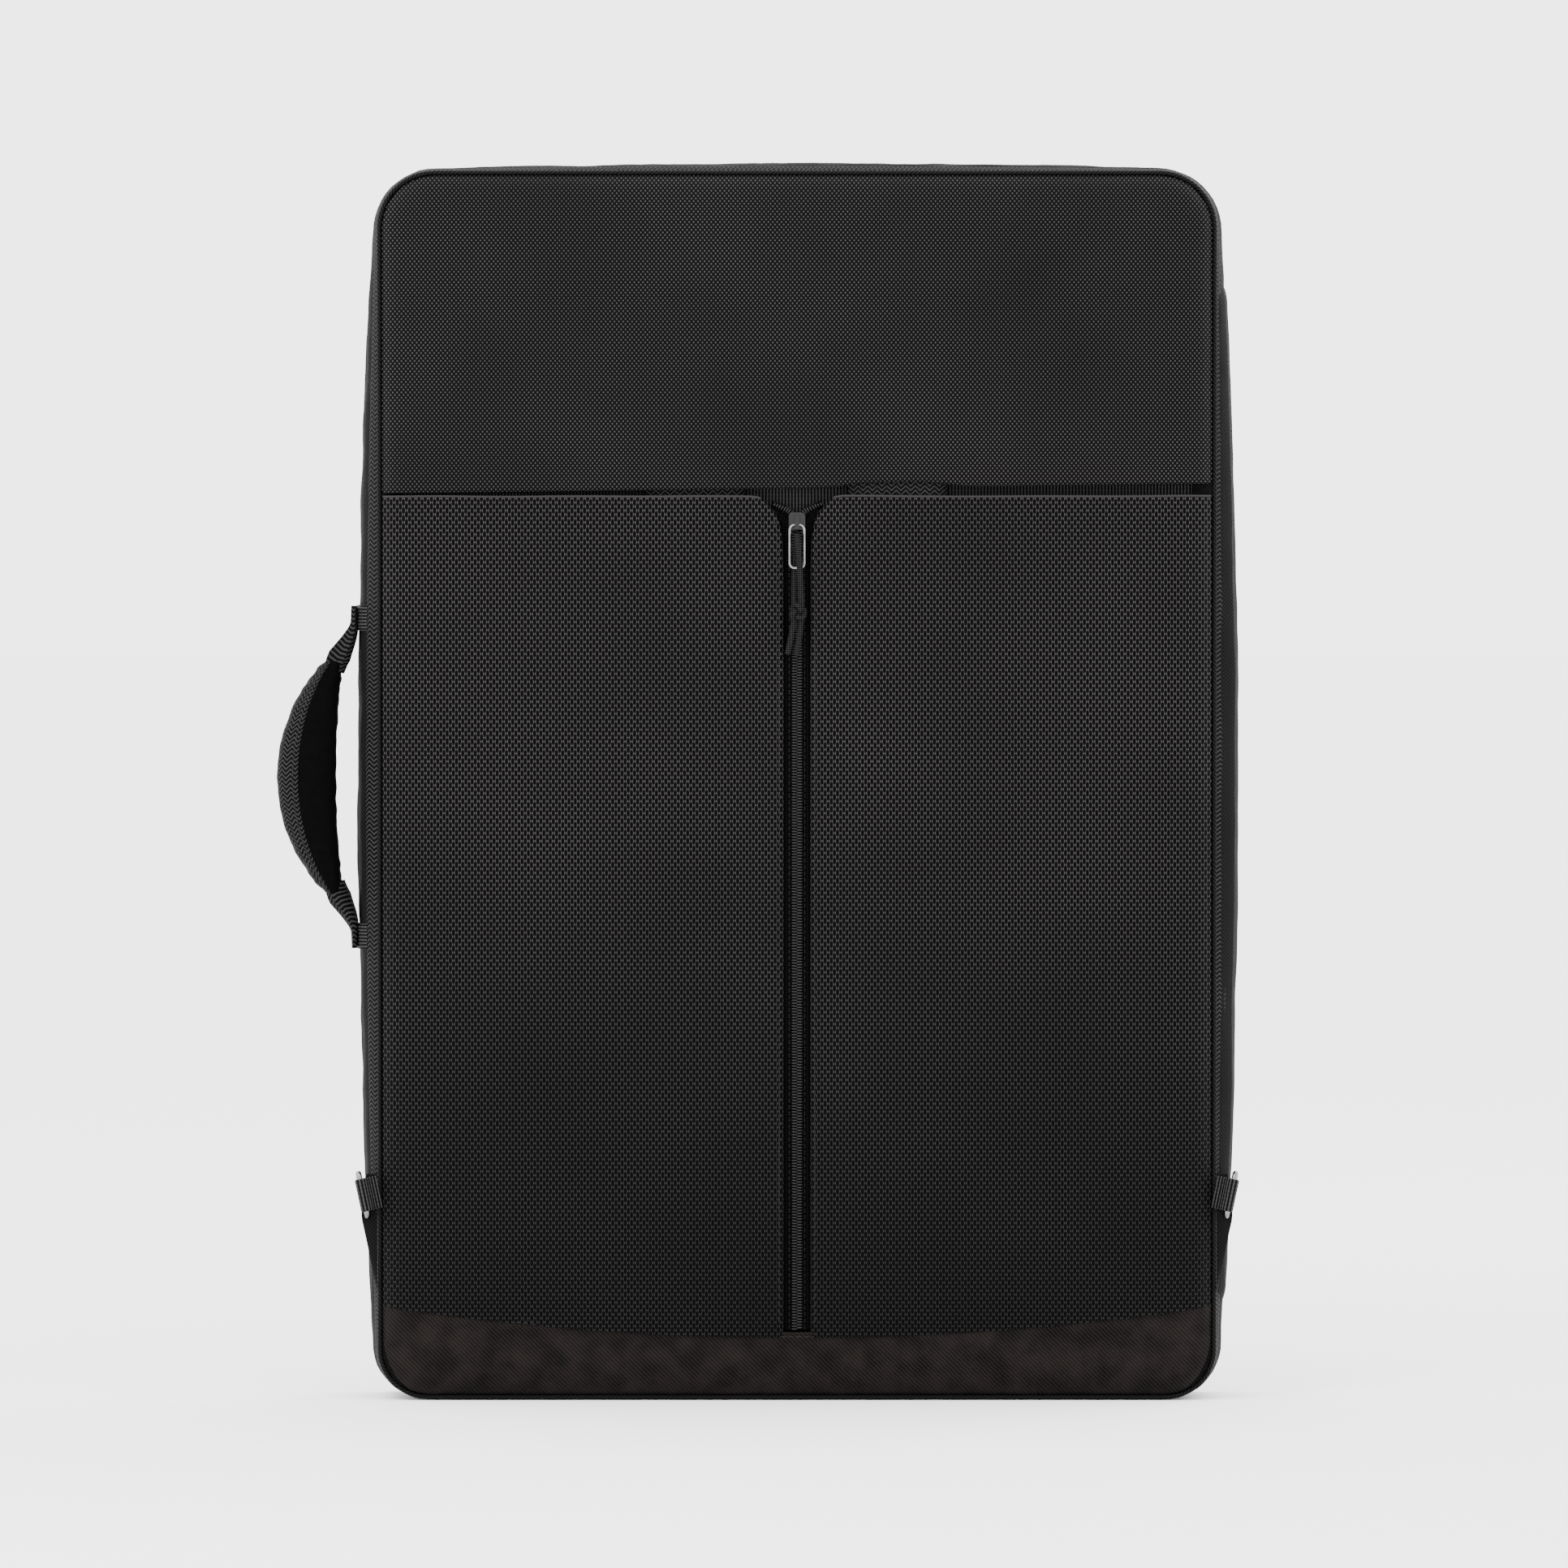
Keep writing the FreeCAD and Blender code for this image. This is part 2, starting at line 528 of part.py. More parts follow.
def centre_slider():
    base_z = FLAP_SLIDER_TOP - SLIDER_LONG
    move = V(0, CHAIN_Y, base_z)
    body = slider_body(True, CORD_LIFT)
    body.translate(move)
    save("flap_slider", body)
    pull = wire_pull(PULL_LONG, CORD_LIFT)
    pull.translate(move)
    save("flap_pull", pull)
    y, z = pull_line(CORD_LIFT)
    y += CHAIN_Y
    z += base_z
    print("centre pull axis y", round(y, 2), "z", round(z, 2))
    return y


def placed(shape, turns, move):
    out = shape.copy()
    for axis, angle in turns:
        out.rotate(V(0, 0, 0), axis, angle)
    out.translate(move)
    return out


def main_sliders():
    """Two sliders that meet in the middle of the top, each with its pull lying flat."""
    chain_top = ZIP_TOP - ZIP_RECESS
    y, z = pull_line(PULL_LIFT)
    for side, name in ((-1, "left"), (1, "right")):
        # chain along X: the slider's nose, its z = length end, points to the other slider
        turns = [(V(1, 0, 0), -90), (V(0, 0, 1), side * 90)]
        nose = side * (SLIDER_LONG + RUN_GAP)
        move = V(nose, ZIP_Y, chain_top)
        body = slider_body(False, PULL_LIFT)
        if side < 0:
            body = body.mirror(V(0, 0, 0), V(1, 0, 0))
        body = placed(body, turns, move)
        pull = placed(wire_pull(PULL_LONG, PULL_LIFT), turns, move)
        save("zip_slider_" + name, body)
        save("zip_pull_" + name, pull)
        print("main pull", name, "axis x", round(nose - side * z, 2), "z", round(chain_top - y, 2))


# ---- cord on the centre pull --------------------------------------------------------
def pull_cord(pull_y):
    """Two strands from the wire's eye, one behind its lower bar and one before it."""
    eye_z = FLAP_SLIDER_TOP - SLIDER_LONG - CORD / 2 - 0.6
    apart = CORD / 2 + 0.1
    behind = pull_y + PULL_WIRE / 2 + CORD / 2 + 0.05
    before = pull_y - PULL_WIRE / 2 - CORD / 2 - 0.05
    kx, ky, kz = KNOT_AT
    half = CORD / 2 + 0.15
    left = [(0.0, pull_y + apart, eye_z), (-0.2, behind, eye_z - 3.6), (-0.9, behind, eye_z - 11.0),
            (-1.2, behind, eye_z - 20.0), (kx - half, behind - 0.6, kz + 10.0), (kx - half, ky, kz),
            (kx - half - 1.1, ky + 0.2, kz - 10.5), (kx - half - 3.6, ky + 0.9, kz - 21.5)]
    right = [(0.0, pull_y - apart, eye_z), (0.3, before, eye_z - 3.6), (1.0, before, eye_z - 11.0),
             (1.6, before, eye_z - 20.0), (kx + half, before + 0.9, kz + 10.0), (kx + half, ky, kz),
             (kx + half - 0.3, ky + 0.3, kz - 10.5), (kx + half - 2.6, ky + 0.8, kz - 22.0)]
    knot = Part.makeSphere(1.0)
    scale = FreeCAD.Matrix()
    scale.scale(V(KNOT_WIDE / 2, KNOT_DEEP / 2, KNOT_TALL / 2))
    knot = knot.transformGeometry(scale)
    knot.translate(V(*KNOT_AT))
    for points, name in ((left, "left"), (right, "right")):
        path = rounded_path(points, "cord_" + name)
        strand = tube(path, CORD)
        print("cord", name, "length", round(path.Length, 1))
        save("pull_cord_" + name, strand)
        knot = knot.cut(tube(path, CORD + 0.06))
    save("pull_knot", max(knot.Solids, key=lambda s: s.Volume))


# ---- carry handle -------------------------------------------------------------------
def handle_line():
    """The vertical hinge line of the grip, just outside the gusset."""
    return -(ZIP_HALF_W + SIDE_BOW + 5.5)


def lens(outer_sag, inner_sag, span, x0, y0, y1):
    top = V(x0, y0, HANDLE_Z + span / 2)
    low = V(x0, y0, HANDLE_Z - span / 2)
    outer = Part.Arc(top, V(x0 - outer_sag, y0, HANDLE_Z), low).toShape()
    inner = Part.Arc(low, V(x0 - inner_sag, y0, HANDLE_Z), top).toShape()
    return Part.Face(Part.Wire([outer, inner])).extrude(V(0, y1 - y0, 0))


def carry_handle():
    line = handle_line()
    y0 = HANDLE_Y - HANDLE_WIDE / 2
    y1 = HANDLE_Y + HANDLE_WIDE / 2
    root = line - 0.5
    grip = lens(HANDLE_OUT, GRIP_INNER_SAG, GRIP_SPAN, root, y0, y1)
    blunt = GRIP_SPAN / 2 - GRIP_BLUNT
    grip = grip.common(block(-OVER, 0, -OVER, OVER, HANDLE_Z - blunt, HANDLE_Z + blunt))
    save("handle_grip", grip)
    wall = -(ZIP_HALF_W + SIDE_BOW)
    ends = []
    patches = []
    for up in (-1, 1):
        anchor = HANDLE_Z + up * HANDLE_SPAN / 2
        tip = HANDLE_Z + up * (blunt + RUN_GAP)
        points = [(wall - 0.4 - PATCH, anchor), (wall - 0.4 - PATCH, anchor - up * 4.0),
                  (line + 1.2, tip), (line - 4.4, tip), (line - 3.2, tip + up * 4.0)]
        pts = [V(x, y0 + 1, z) for x, z in points]
        ends.append(Part.Face(Part.makePolygon(pts + [pts[0]])).extrude(V(0, HANDLE_WIDE - 2, 0)))
        patches.append(block(wall - 0.05 - PATCH, wall - 0.05, y0 - 2, y1 + 2,
                             anchor - PATCH_TALL / 2 + up * PATCH_TALL / 2,
                             anchor + PATCH_TALL / 2 + up * PATCH_TALL / 2))
    save("handle_webbing", Part.Compound(ends))
    save("handle_patches", Part.Compound(patches))
    print("handle axis x", round(line, 2), "y", HANDLE_Y)


# ---- D-rings ------------------------------------------------------------------------
def ring_frame():
    """Middle of the right ring's bar, and the seam that its webbing comes from."""
    seam = V(HALF + 1.8, BACK_Y - PIPING - 0.8, 0)
    bar = V(HALF + 8.5, BACK_Y - 6.6, RING_Z)
    return seam, bar


def d_ring_flat():
    """D-ring in the YZ plane with its bar on the Z axis and its bow toward +Y."""
    half = (RING_TALL - RING_WIRE) / 2
    deep = RING_DEEP - RING_WIRE
    straight = deep - half
    k = math.sqrt(0.5) * half
    r = RING_CORNER
    c = r * (1 - math.sqrt(0.5))

    def p(y, z):
        return V(0, y, z)

    edges = [Part.LineSegment(p(0, -half + r), p(0, half - r)),
             Part.Arc(p(0, half - r), p(c, half - c), p(r, half)),
             Part.LineSegment(p(r, half), p(straight, half)),
             Part.Arc(p(straight, half), p(straight + k, k), p(straight + half, 0)),
             Part.Arc(p(straight + half, 0), p(straight + k, -k), p(straight, -half)),
             Part.LineSegment(p(straight, -half), p(r, -half)),
             Part.Arc(p(r, -half), p(c, -half + c), p(0, -half + r))]
    return tube(Part.Wire([e.toShape() for e in edges]), RING_WIRE)


def d_rings():
    """Each ring, its webbing tab round the bar, and the fabric wing behind the tab."""
    seam, bar = ring_frame()
    way = V(bar.x - seam.x, bar.y - seam.y, 0)
    reach = way.Length
    angle = math.degrees(math.atan2(way.y, way.x))
    out_r = RING_WIRE / 2 + RING_CLEAR + WEB
    hole = RING_WIRE / 2 + RING_CLEAR
    half = TAB_WIDE / 2

    # tab and wing in a frame with the bar on Z and the seam toward -X
    sleeve = Part.makeCylinder(out_r, TAB_WIDE, V(0, 0, -half))
    flat = block(-reach, 0, -WEB / 2, WEB / 2, -half, half)
    tab = sleeve.fuse(flat).cut(Part.makeCylinder(hole, TAB_WIDE + 2, V(0, 0, -half - 1)))
    tab = tab.removeSplitter()
    low = WING_BASE - RING_Z
    behind = WEB / 2 + 0.9
    tip = -out_r - 2.4
    wing_pts = [V(-reach, behind, low), V(-reach, behind, half + 3),
                V(tip, behind, half), V(tip, behind, -half - 2)]
    wing = Part.Face(Part.makePolygon(wing_pts + [wing_pts[0]])).extrude(V(0, COVER, 0))
    for side, name in ((-1, "left"), (1, "right")):
        ring = d_ring_flat()
        ring.rotate(V(0, 0, 0), V(0, 0, 1), -RING_SPLAY)
        pieces = {"d_ring_" + name: ring}
        tab_here = tab.copy()
        tab_here.rotate(V(0, 0, 0), V(0, 0, 1), angle)
        pieces["ring_tab_" + name] = tab_here
        wing_here = wing.copy()
        wing_here.rotate(V(0, 0, 0), V(0, 0, 1), angle)
        pieces["ring_wing_" + name] = wing_here
        for piece, shape in pieces.items():
            if "wing" not in piece:
                shape.rotate(V(0, 0, 0), V(0, 1, 0), RING_TILT)
            shape.translate(bar)
            if side < 0:
                shape = shape.mirror(V(0, 0, 0), V(1, 0, 0))
            save(piece, shape)
    print("ring bar", [round(v, 2) for v in bar], "tilt", RING_TILT)


# ---- document pocket on the lid -----------------------------------------------------
def document_pocket():
    edge = PIPING / 2 + SEAM_GAP
    floor = FRONT_FACE + SEAM_GAP
    pad = crowned(floor, FRONT_CROWN, 1, edge)
    hollow = crowned(floor - 0.1, FRONT_CROWN - FRONT_SKIN, 1, edge + 5)
    hollow = hollow.cut(block(-OVER, OVER, -OVER, OVER, FRONT_ZIP + TAPE_HALF, FAR))
    shell = pad.cut(hollow)
    slot = CHAIN / 2 + 1.2
    half = HALF - 48
    tape_out = floor + FRONT_CROWN - FRONT_SKIN - 0.1
    chain_out = tape_out + CHAIN_DEEP
    shell = shell.cut(block(-half, half, 0, OVER, FRONT_ZIP - slot, FRONT_ZIP + slot))
    save("pocket_yoke", shell.common(block(-OVER, OVER, 0, OVER, FRONT_ZIP + SEAM_GAP, FAR)))
    save("pocket_panel", shell.common(block(-OVER, OVER, 0, OVER, -1, FRONT_ZIP)))
    tape = block(-half, half, tape_out - TAPE, tape_out,
                 FRONT_ZIP - TAPE_HALF + 2, FRONT_ZIP + TAPE_HALF - 2)
    save("pocket_tape", tape)
    chain = block(-half + 4, half - 4, tape_out, chain_out, FRONT_ZIP - CHAIN / 2, FRONT_ZIP + CHAIN / 2)
    save("pocket_coil", chain)
    # slider at the spine end of the zip; its pull hangs down
    at = V(half - POCKET_SLIDER_IN, chain_out, FRONT_ZIP)
    save("pocket_slider", placed(slider_body(False, PULL_LIFT), [(V(0, 0, 1), 180), (V(0, 1, 0), 90)], at))
    y, z = pull_line(PULL_LIFT)
    # the pull lies along the zip, with its bar upright in the bail
    pull = wire_pull(PULL_LONG, PULL_LIFT)
    pull.translate(V(0, -y, -z))
    pull = placed(pull, [(V(0, 0, 1), 180), (V(0, 1, 0), 90)], V(at.x + z, at.y - y, at.z))
    save("pocket_pull", pull)
    print("pocket pull axis x", round(at.x + z, 2), "y", round(at.y - y, 2))


back_shell()
lid_shell()
stow_pocket()
centre_zip()
stowed_straps()
pull_cord(centre_slider())
main_sliders()
carry_handle()
d_rings()
document_pocket()
print("hinge x", HINGE_X, "zip y", ZIP_Y, "crown", CROWN_Y, "chain y", CHAIN_Y)
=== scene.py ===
import math
import bpy
import numpy as np
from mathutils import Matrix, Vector, noise


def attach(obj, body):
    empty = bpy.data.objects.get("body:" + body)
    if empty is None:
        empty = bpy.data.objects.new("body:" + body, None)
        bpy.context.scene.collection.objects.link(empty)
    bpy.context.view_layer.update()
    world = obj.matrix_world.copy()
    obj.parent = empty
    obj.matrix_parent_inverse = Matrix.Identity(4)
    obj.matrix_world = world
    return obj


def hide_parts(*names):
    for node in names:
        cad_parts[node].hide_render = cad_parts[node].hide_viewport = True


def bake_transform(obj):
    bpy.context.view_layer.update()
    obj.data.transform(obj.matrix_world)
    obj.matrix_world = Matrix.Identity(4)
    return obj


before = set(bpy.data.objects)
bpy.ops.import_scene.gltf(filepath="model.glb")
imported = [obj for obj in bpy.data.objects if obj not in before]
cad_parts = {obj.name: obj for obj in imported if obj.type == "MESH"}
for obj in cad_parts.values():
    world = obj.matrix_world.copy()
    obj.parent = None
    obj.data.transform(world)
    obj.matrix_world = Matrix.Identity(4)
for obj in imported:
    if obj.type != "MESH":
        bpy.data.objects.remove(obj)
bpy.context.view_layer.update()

MM = 0.001

# ---- sizes in millimetres, the same as the case's own -------------------------------
HALF = 219.0                # half width of the face inside the piping
FACE_BASE = 1.7
FACE_TOP = 644.0
MIDDLE_Z = 322.0            # height the outward directions are taken from
CORNER_BASE = 25.0
CORNER_TOP = 29.0
SIDE_SPREAD = 4.5           # the zip's outline stands out this much beyond the face
TOP_SPREAD = 3.0
BACK_Y = -30.0
FRONT_Y = 30.0
GUSSET_PAD = 6.0
PIPING = 2.4
POCKET_FLOOR = -31.4
BACK_CROWN = 12.6
KICK_CROWN = 10.4
FRONT_FLOOR = 31.4
FRONT_CROWN = 6.4
MOUTH = 474.0
TAPE_Y = -39.4              # outer face of the centre zip's tapes
TOOTH_PITCH = 1.5           # spacing of coil teeth along a tape
SPINE_BASE = 52.0
SPINE_TOP = 584.0
POCKET_ZIP = 520.0          # height of the document pocket's zip
CORD = 3.2
STITCH_LONG = 3.0           # visible length of one lockstitch
STITCH_GAP = 1.1
THREAD = 0.55

CORD_LEFT = [(0, -44.7, 454.8), (-0.2, -44.0, 451.2), (-0.9, -44.0, 443.8), (-1.2, -44.0, 434.8),
             (-1.35, -44.6, 423.5), (-1.35, -46.4, 413.5), (-2.45, -46.2, 403.0), (-4.95, -45.5, 392.0)]
CORD_RIGHT = [(0, -48.1, 454.8), (0.3, -48.8, 451.2), (1.0, -48.8, 443.8), (1.6, -48.8, 434.8),
              (2.15, -47.9, 423.5), (2.15, -46.4, 413.5), (1.85, -46.1, 403.0), (-0.45, -45.6, 391.5)]
KNOT_AT = (0.4, -46.4, 413.5)


# ---- small tools --------------------------------------------------------------------
def colour(hex_code):
    """An sRGB hex colour as linear numbers."""
    parts = [int(hex_code[i:i + 2], 16) / 255 for i in (1, 3, 5)]
    linear = [c / 12.92 if c <= 0.04045 else ((c + 0.055) / 1.055) ** 2.4 for c in parts]
    return (*linear, 1.0)


def add(mat, kind, settings=None, inputs=None, out=0):
    """Adds one node with its settings, fills its inputs and gives back one output."""
    made = mat.node_tree.nodes.new("ShaderNode" + kind)
    for key, value in (settings or {}).items():
        setattr(made, key, value)
    items = inputs.items() if isinstance(inputs, dict) else enumerate(inputs or [])
    for key, value in items:
        if isinstance(value, bpy.types.NodeSocket):
            mat.node_tree.links.new(value, made.inputs[key])
        else:
            made.inputs[key].default_value = value
    return made.outputs[out]


def steps(length, fine, coarse, grow=1.35):
    """Distances from 0 to length, close together at both ends and wider between."""
    ends = [0.0]
    step = fine
    while step < coarse and ends[-1] + step < length * 0.4:
        ends.append(ends[-1] + step)
        step *= grow
    left = length - 2 * ends[-1]
    count = max(1, round(left / coarse))
    middle = [ends[-1] + left * i / count for i in range(1, count)]
    return np.array(ends + middle + [length - e for e in reversed(ends)])


def soft(x, z, size, seed):
    """Slow waves of one size in millimetres, from about -1 to 1."""
    return noise.noise(Vector((x / size, z / size, seed)))


def distances(points):
    """How far each point lies along its line."""
    return np.concatenate([[0], np.cumsum(np.linalg.norm(np.diff(points, axis=0), axis=1))])


def tangents(path, closed=False):
    if closed:
        along = np.roll(path, -1, 0) - np.roll(path, 1, 0)
    else:
        along = np.gradient(path, axis=0)
    return along / np.linalg.norm(along, axis=1)[:, None]


def at_depth(loop, y):
    """An outline as points in space at one depth."""
    return np.stack([loop[:, 0], np.full(len(loop), y), loop[:, 1]], 1)


def flat_grid(down, along):
    """Flat coordinates of a cloth whose rows lie at `down` and columns at `along`."""
    return np.stack(np.broadcast_arrays(down[:, None], along[None, :]), -1)


def grid_faces(rows, cols):
    idx = np.arange(rows * cols).reshape(rows, cols)
    quads = np.stack([idx[:-1, :-1], idx[:-1, 1:], idx[1:, 1:], idx[1:, :-1]], -1)
    return quads.reshape(-1, 4)


def from_centre(pts, y, sign=1):
    """Direction of each face of a cloth away from the case's middle, square to its depth."""
    quads = grid_faces(*pts.shape[:2])
    way = pts.reshape(-1, 3)[quads].mean(1) - np.array([0, y, MIDDLE_Z])
    way[:, 1] = 0
    return way * sign


def piece(name, points, faces, flat, material, body, stands_for=(), outward=None):
    """One mesh piece, with points and flat coordinates in millimetres. Its faces are
    turned to look along `outward`."""
    pts = np.asarray(points, float).reshape(-1, 3)
    if outward is not None:
        faces = np.asarray(faces)
        a, b, c = (pts[faces[:, k]] for k in range(3))
        if (np.cross(b - a, c - a) * np.asarray(outward, float)).sum() < 0:
            faces = faces[:, ::-1]
    if isinstance(faces, np.ndarray):
        faces = faces.tolist()
    mesh = bpy.data.meshes.new(name)
    mesh.from_pydata((pts * MM).tolist(), [], faces)
    layer = mesh.uv_layers.new(name="flat")
    corner = np.empty(len(mesh.loops), np.int32)
    mesh.loops.foreach_get("vertex_index", corner)
    uv = np.asarray(flat, np.float32).reshape(-1, 2) * MM
    layer.data.foreach_set("uv", uv[corner].ravel())
    mesh.materials.append(material)
    mesh.shade_smooth()
    made = bpy.data.objects.new(name, mesh)
    bpy.context.scene.collection.objects.link(made)
    if body:
        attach(made, body)
    if stands_for:
        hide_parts(*stands_for)
    return made


def cloth(name, pts, flats, material, body, stands_for=(), outward=(0, -1, 0)):
    """A piece from rows of points."""
    faces = grid_faces(*pts.shape[:2])
    return piece(name, pts, faces, flats, material, body, stands_for, outward)


def swept(path, section, across, centre=None, closed=False, scale=None):
    """Points and flat coordinates of a section carried along a path.
    A section point is (along `across`, away from `centre`)."""
    path = np.asarray(path, float)
    section = np.asarray(section, float)
    t = tangents(path, closed)
    a = np.broadcast_to(np.asarray(across, float), path.shape).copy()
    a -= (a * t).sum(1)[:, None] * t
    a /= np.linalg.norm(a, axis=1)[:, None]
    o = np.cross(t, a)
    if centre is not None:
        toward = ((path - np.asarray(centre, float)) * o).sum(1)
        o[toward < 0] *= -1
    size = np.ones(len(path)) if scale is None else np.asarray(scale, float)
    size = size.reshape(len(path), -1) * np.ones(2)
    pts = (path[:, None, :] + section[None, :, 0, None] * a[:, None, :] * size[:, :1, None]
           + section[None, :, 1, None] * o[:, None, :] * size[:, 1:, None])
    return pts, np.stack(np.meshgrid(distances(section), distances(path)), -1)


def closed_end(points, flat, faces, ring, turned, middle_of):
    """Closes one end with a fan of triangles round a new point, the middle of some others."""
    hub = len(points)
    for a, b in zip(ring, ring[1:]):
        faces.append([b, a, hub] if turned else [a, b, hub])
    return np.vstack([points, points[middle_of].mean(0)]), np.vstack([flat, flat[middle_of].mean(0)])


def sweep_piece(name, path, section, across, material, body, stands_for=(), scale=None):
    """A closed section carried along a path as one piece with closed ends."""
    pts, flat = swept(path, list(section) + [section[0]], across, scale=scale)
    rows, cols = pts.shape[:2]
    quads = grid_faces(rows, cols)
    points = pts.reshape(-1, 3)
    flat = flat.reshape(-1, 2)
    corners = points[quads]
    normal = np.cross(corners[:, 1] - corners[:, 0], corners[:, 2] - corners[:, 0])
    away = corners.mean(1) - np.repeat(pts.mean(1)[:-1], cols - 1, 0)
    if (normal * away).sum() < 0:
        quads = quads[:, ::-1]
    faces = quads.tolist()
    for row in (0, rows - 1):
        ring = list(range(row * cols, row * cols + cols - 1))
        points, flat = closed_end(points, flat, faces, ring + ring[:1], row > 0, ring)
    return piece(name, points, faces, flat, material, body, stands_for)


def many(name, shapes, material, body, stands_for=()):
    """Many small separate shapes as one piece; each is (points, faces)."""
    points = []
    faces = []
    for pts, quads in shapes:
        start = len(points)
        points.extend(pts)
        faces.extend([[start + i for i in q] for q in quads])
    points = np.array(points)
    return piece(name, points, faces, points[:, [0, 2]], material, body, stands_for)


def round_faces(rings, sides):
    """Faces of a tube of so many rings, each with so many sides."""
    quads = []
    for i in range(rings - 1):
        for k in range(sides):
            n = (k + 1) % sides
            quads.append((i * sides + k, i * sides + n, (i + 1) * sides + n, (i + 1) * sides + k))
    return quads


def rod(a, b, radius, sides=6, bulge=0.75):
    """A short bar with rounded ends between two points."""
    a, b = np.asarray(a, float), np.asarray(b, float)
    t = (b - a) / np.linalg.norm(b - a)
    u = np.cross(t, (0.3, 0.5, 0.81))
    u /= np.linalg.norm(u)
    v = np.cross(t, u)
    rings = [(a, radius * 0.45), (a + t * radius * bulge, radius),
             (b - t * radius * bulge, radius), (b, radius * 0.45)]
    pts = []
    for c, r in rings:
        for w in np.arange(sides) * 2 * math.pi / sides:
            pts.append(c + r * (math.cos(w) * u + math.sin(w) * v))
    last = (len(rings) - 1) * sides
    ends = [tuple(reversed(range(sides))), tuple(range(last, last + sides))]
    return pts, round_faces(len(rings), sides) + ends


def along_line(path, pitch, start=0.0):
    """Places and directions at equal spacing along a path."""
    path = np.asarray(path, float)
    run = distances(path)
    at = np.arange(start, run[-1], pitch)
    pts = np.stack([np.interp(at, run, path[:, k]) for k in range(3)], 1)
    return pts, tangents(pts)


def stitch_row(path, long=STITCH_LONG, gap=STITCH_GAP):
    """One row of lockstitches as short rods along a path."""
    pts, ways = along_line(path, long + gap, gap)
    return [rod(p - w * long / 2, p + w * long / 2, THREAD / 2, 6, 1.6) for p, w in zip(pts, ways)]


def round_section(radius, count):
    """Points once round a cord of that radius, the last one on the first."""
    angle = np.linspace(0, 2 * math.pi, count)
    return np.stack([np.cos(angle), np.sin(angle)], 1) * radius


# ---- outline of the case ------------------------------------------------------------
def rim(half, base, top, r_base, r_top, bow=0.0, top_bow=0.0):
    """Front view of the case's edge as (x, z), from the middle of the base, left, up,
    over the top and down the right side. Every rim has the same number of points."""
    def line(a, b, n):
        t = np.linspace(0, 1, n, endpoint=False)[:, None]
        return np.array(a) * (1 - t) + np.array(b) * t

    def turn(cx, cz, r, start, n=12):
        w = np.radians(np.linspace(start, start - 90, n, endpoint=False))
        return np.stack([cx + r * np.cos(w), cz + r * np.sin(w)], 1)

    up = np.linspace(-1, 1, 150, endpoint=False)
    bulge = bow * (1 - up ** 2)
    z_up = (base + r_base + top - r_top) / 2 + up * (top - r_top - base - r_base) / 2
    left = np.stack([-half - bulge, z_up], 1)
    right = np.stack([half + bulge, z_up[::-1] + (z_up[1] - z_up[0])], 1)
    over = np.linspace(-1, 1, 100, endpoint=False)
    crown = np.stack([over * (half - r_top), top + top_bow * (1 - over ** 2)], 1)
    return np.vstack([
        line((0, base), (-half + r_base, base), 50),
        turn(-half + r_base, base + r_base, r_base, 270), left,
        turn(-half + r_top, top - r_top, r_top, 180), crown,
        turn(half - r_top, top - r_top, r_top, 90), right,
        turn(half - r_base, base + r_base, r_base, 0),
        line((half - r_base, base), (0, base), 50), [(0, base)]])


def face_rim(inset=0.0):
    return rim(HALF - inset, FACE_BASE + inset, FACE_TOP - inset,
               max(CORNER_BASE - inset, 6), max(CORNER_TOP - inset, 6))


def zip_rim(inset=0.0):
    return rim(HALF + SIDE_SPREAD - inset, inset, FACE_TOP + TOP_SPREAD - inset,
               CORNER_BASE + SIDE_SPREAD - inset, CORNER_TOP + SIDE_SPREAD - inset)


def outward_of(loop):
    """Unit directions away from the case at each point of a rim."""
    along = np.gradient(loop, axis=0)
    along[0] = along[-1] = (-1, 0)
    way = np.stack([along[:, 1], -along[:, 0]], 1)
    way /= np.linalg.norm(way, axis=1)[:, None]
    middle = loop - np.array([0, (FACE_BASE + FACE_TOP) / 2])
    if (way * middle).sum() < 0:
        way = -way
    return way


def side_at(z, inset):
    """Half width of the face's outline at height z."""
    half = HALF - inset
    low = FACE_BASE + inset
    high = FACE_TOP - inset
    for edge, radius in ((low, CORNER_BASE - inset), (high, CORNER_TOP - inset)):
        into = abs(z - edge)
        if into < radius:
            return half - radius + math.sqrt(max(radius ** 2 - (radius - into) ** 2, 0))
    return half


def inset_of(x, z, inset=1.4):
    """How far a point of the face lies inside its outline."""
    radius = CORNER_TOP if z > 300 else CORNER_BASE
    half = HALF - inset
    mid = (FACE_BASE + FACE_TOP) / 2
    tall = (FACE_TOP - FACE_BASE) / 2 - inset
    radius -= inset
    dx = abs(x) - (half - radius)
    dz = abs(z - mid) - (tall - radius)
    outside = math.hypot(max(dx, 0), max(dz, 0)) + min(max(dx, dz), 0)
    return radius - outside


PAD_IN = (0, 0.8, 2.4, 5, 8, 13, 20, 27, 36)
PAD_UP = (0, 0.17, 0.37, 0.57, 0.72, 0.84, 0.925, 0.97, 1.0)


def pad_share(x, z):
    return float(np.interp(inset_of(x, z), PAD_IN, PAD_UP))


def kick_line(x):
    return 36.5 + 16.5 * (x / HALF) ** 2


def yoke_line(x):
    """Lower edge of the yoke. It hangs lower on the handle side and is pushed up over
    the right shoulder strap."""
    lifted = 2.6 * math.exp(-((x - 52) / 30) ** 4)
    return 478.6 + 2.6 * x / HALF + lifted


def flap_edge(z):
    """Half the opening between the two flaps at height z."""
    heights = (436, 450, 458, 463, 467, 470.5, 473, 475)
    return float(np.interp(z, heights, (7, 7.4, 8.4, 9.8, 12, 15, 18.5, 22)))


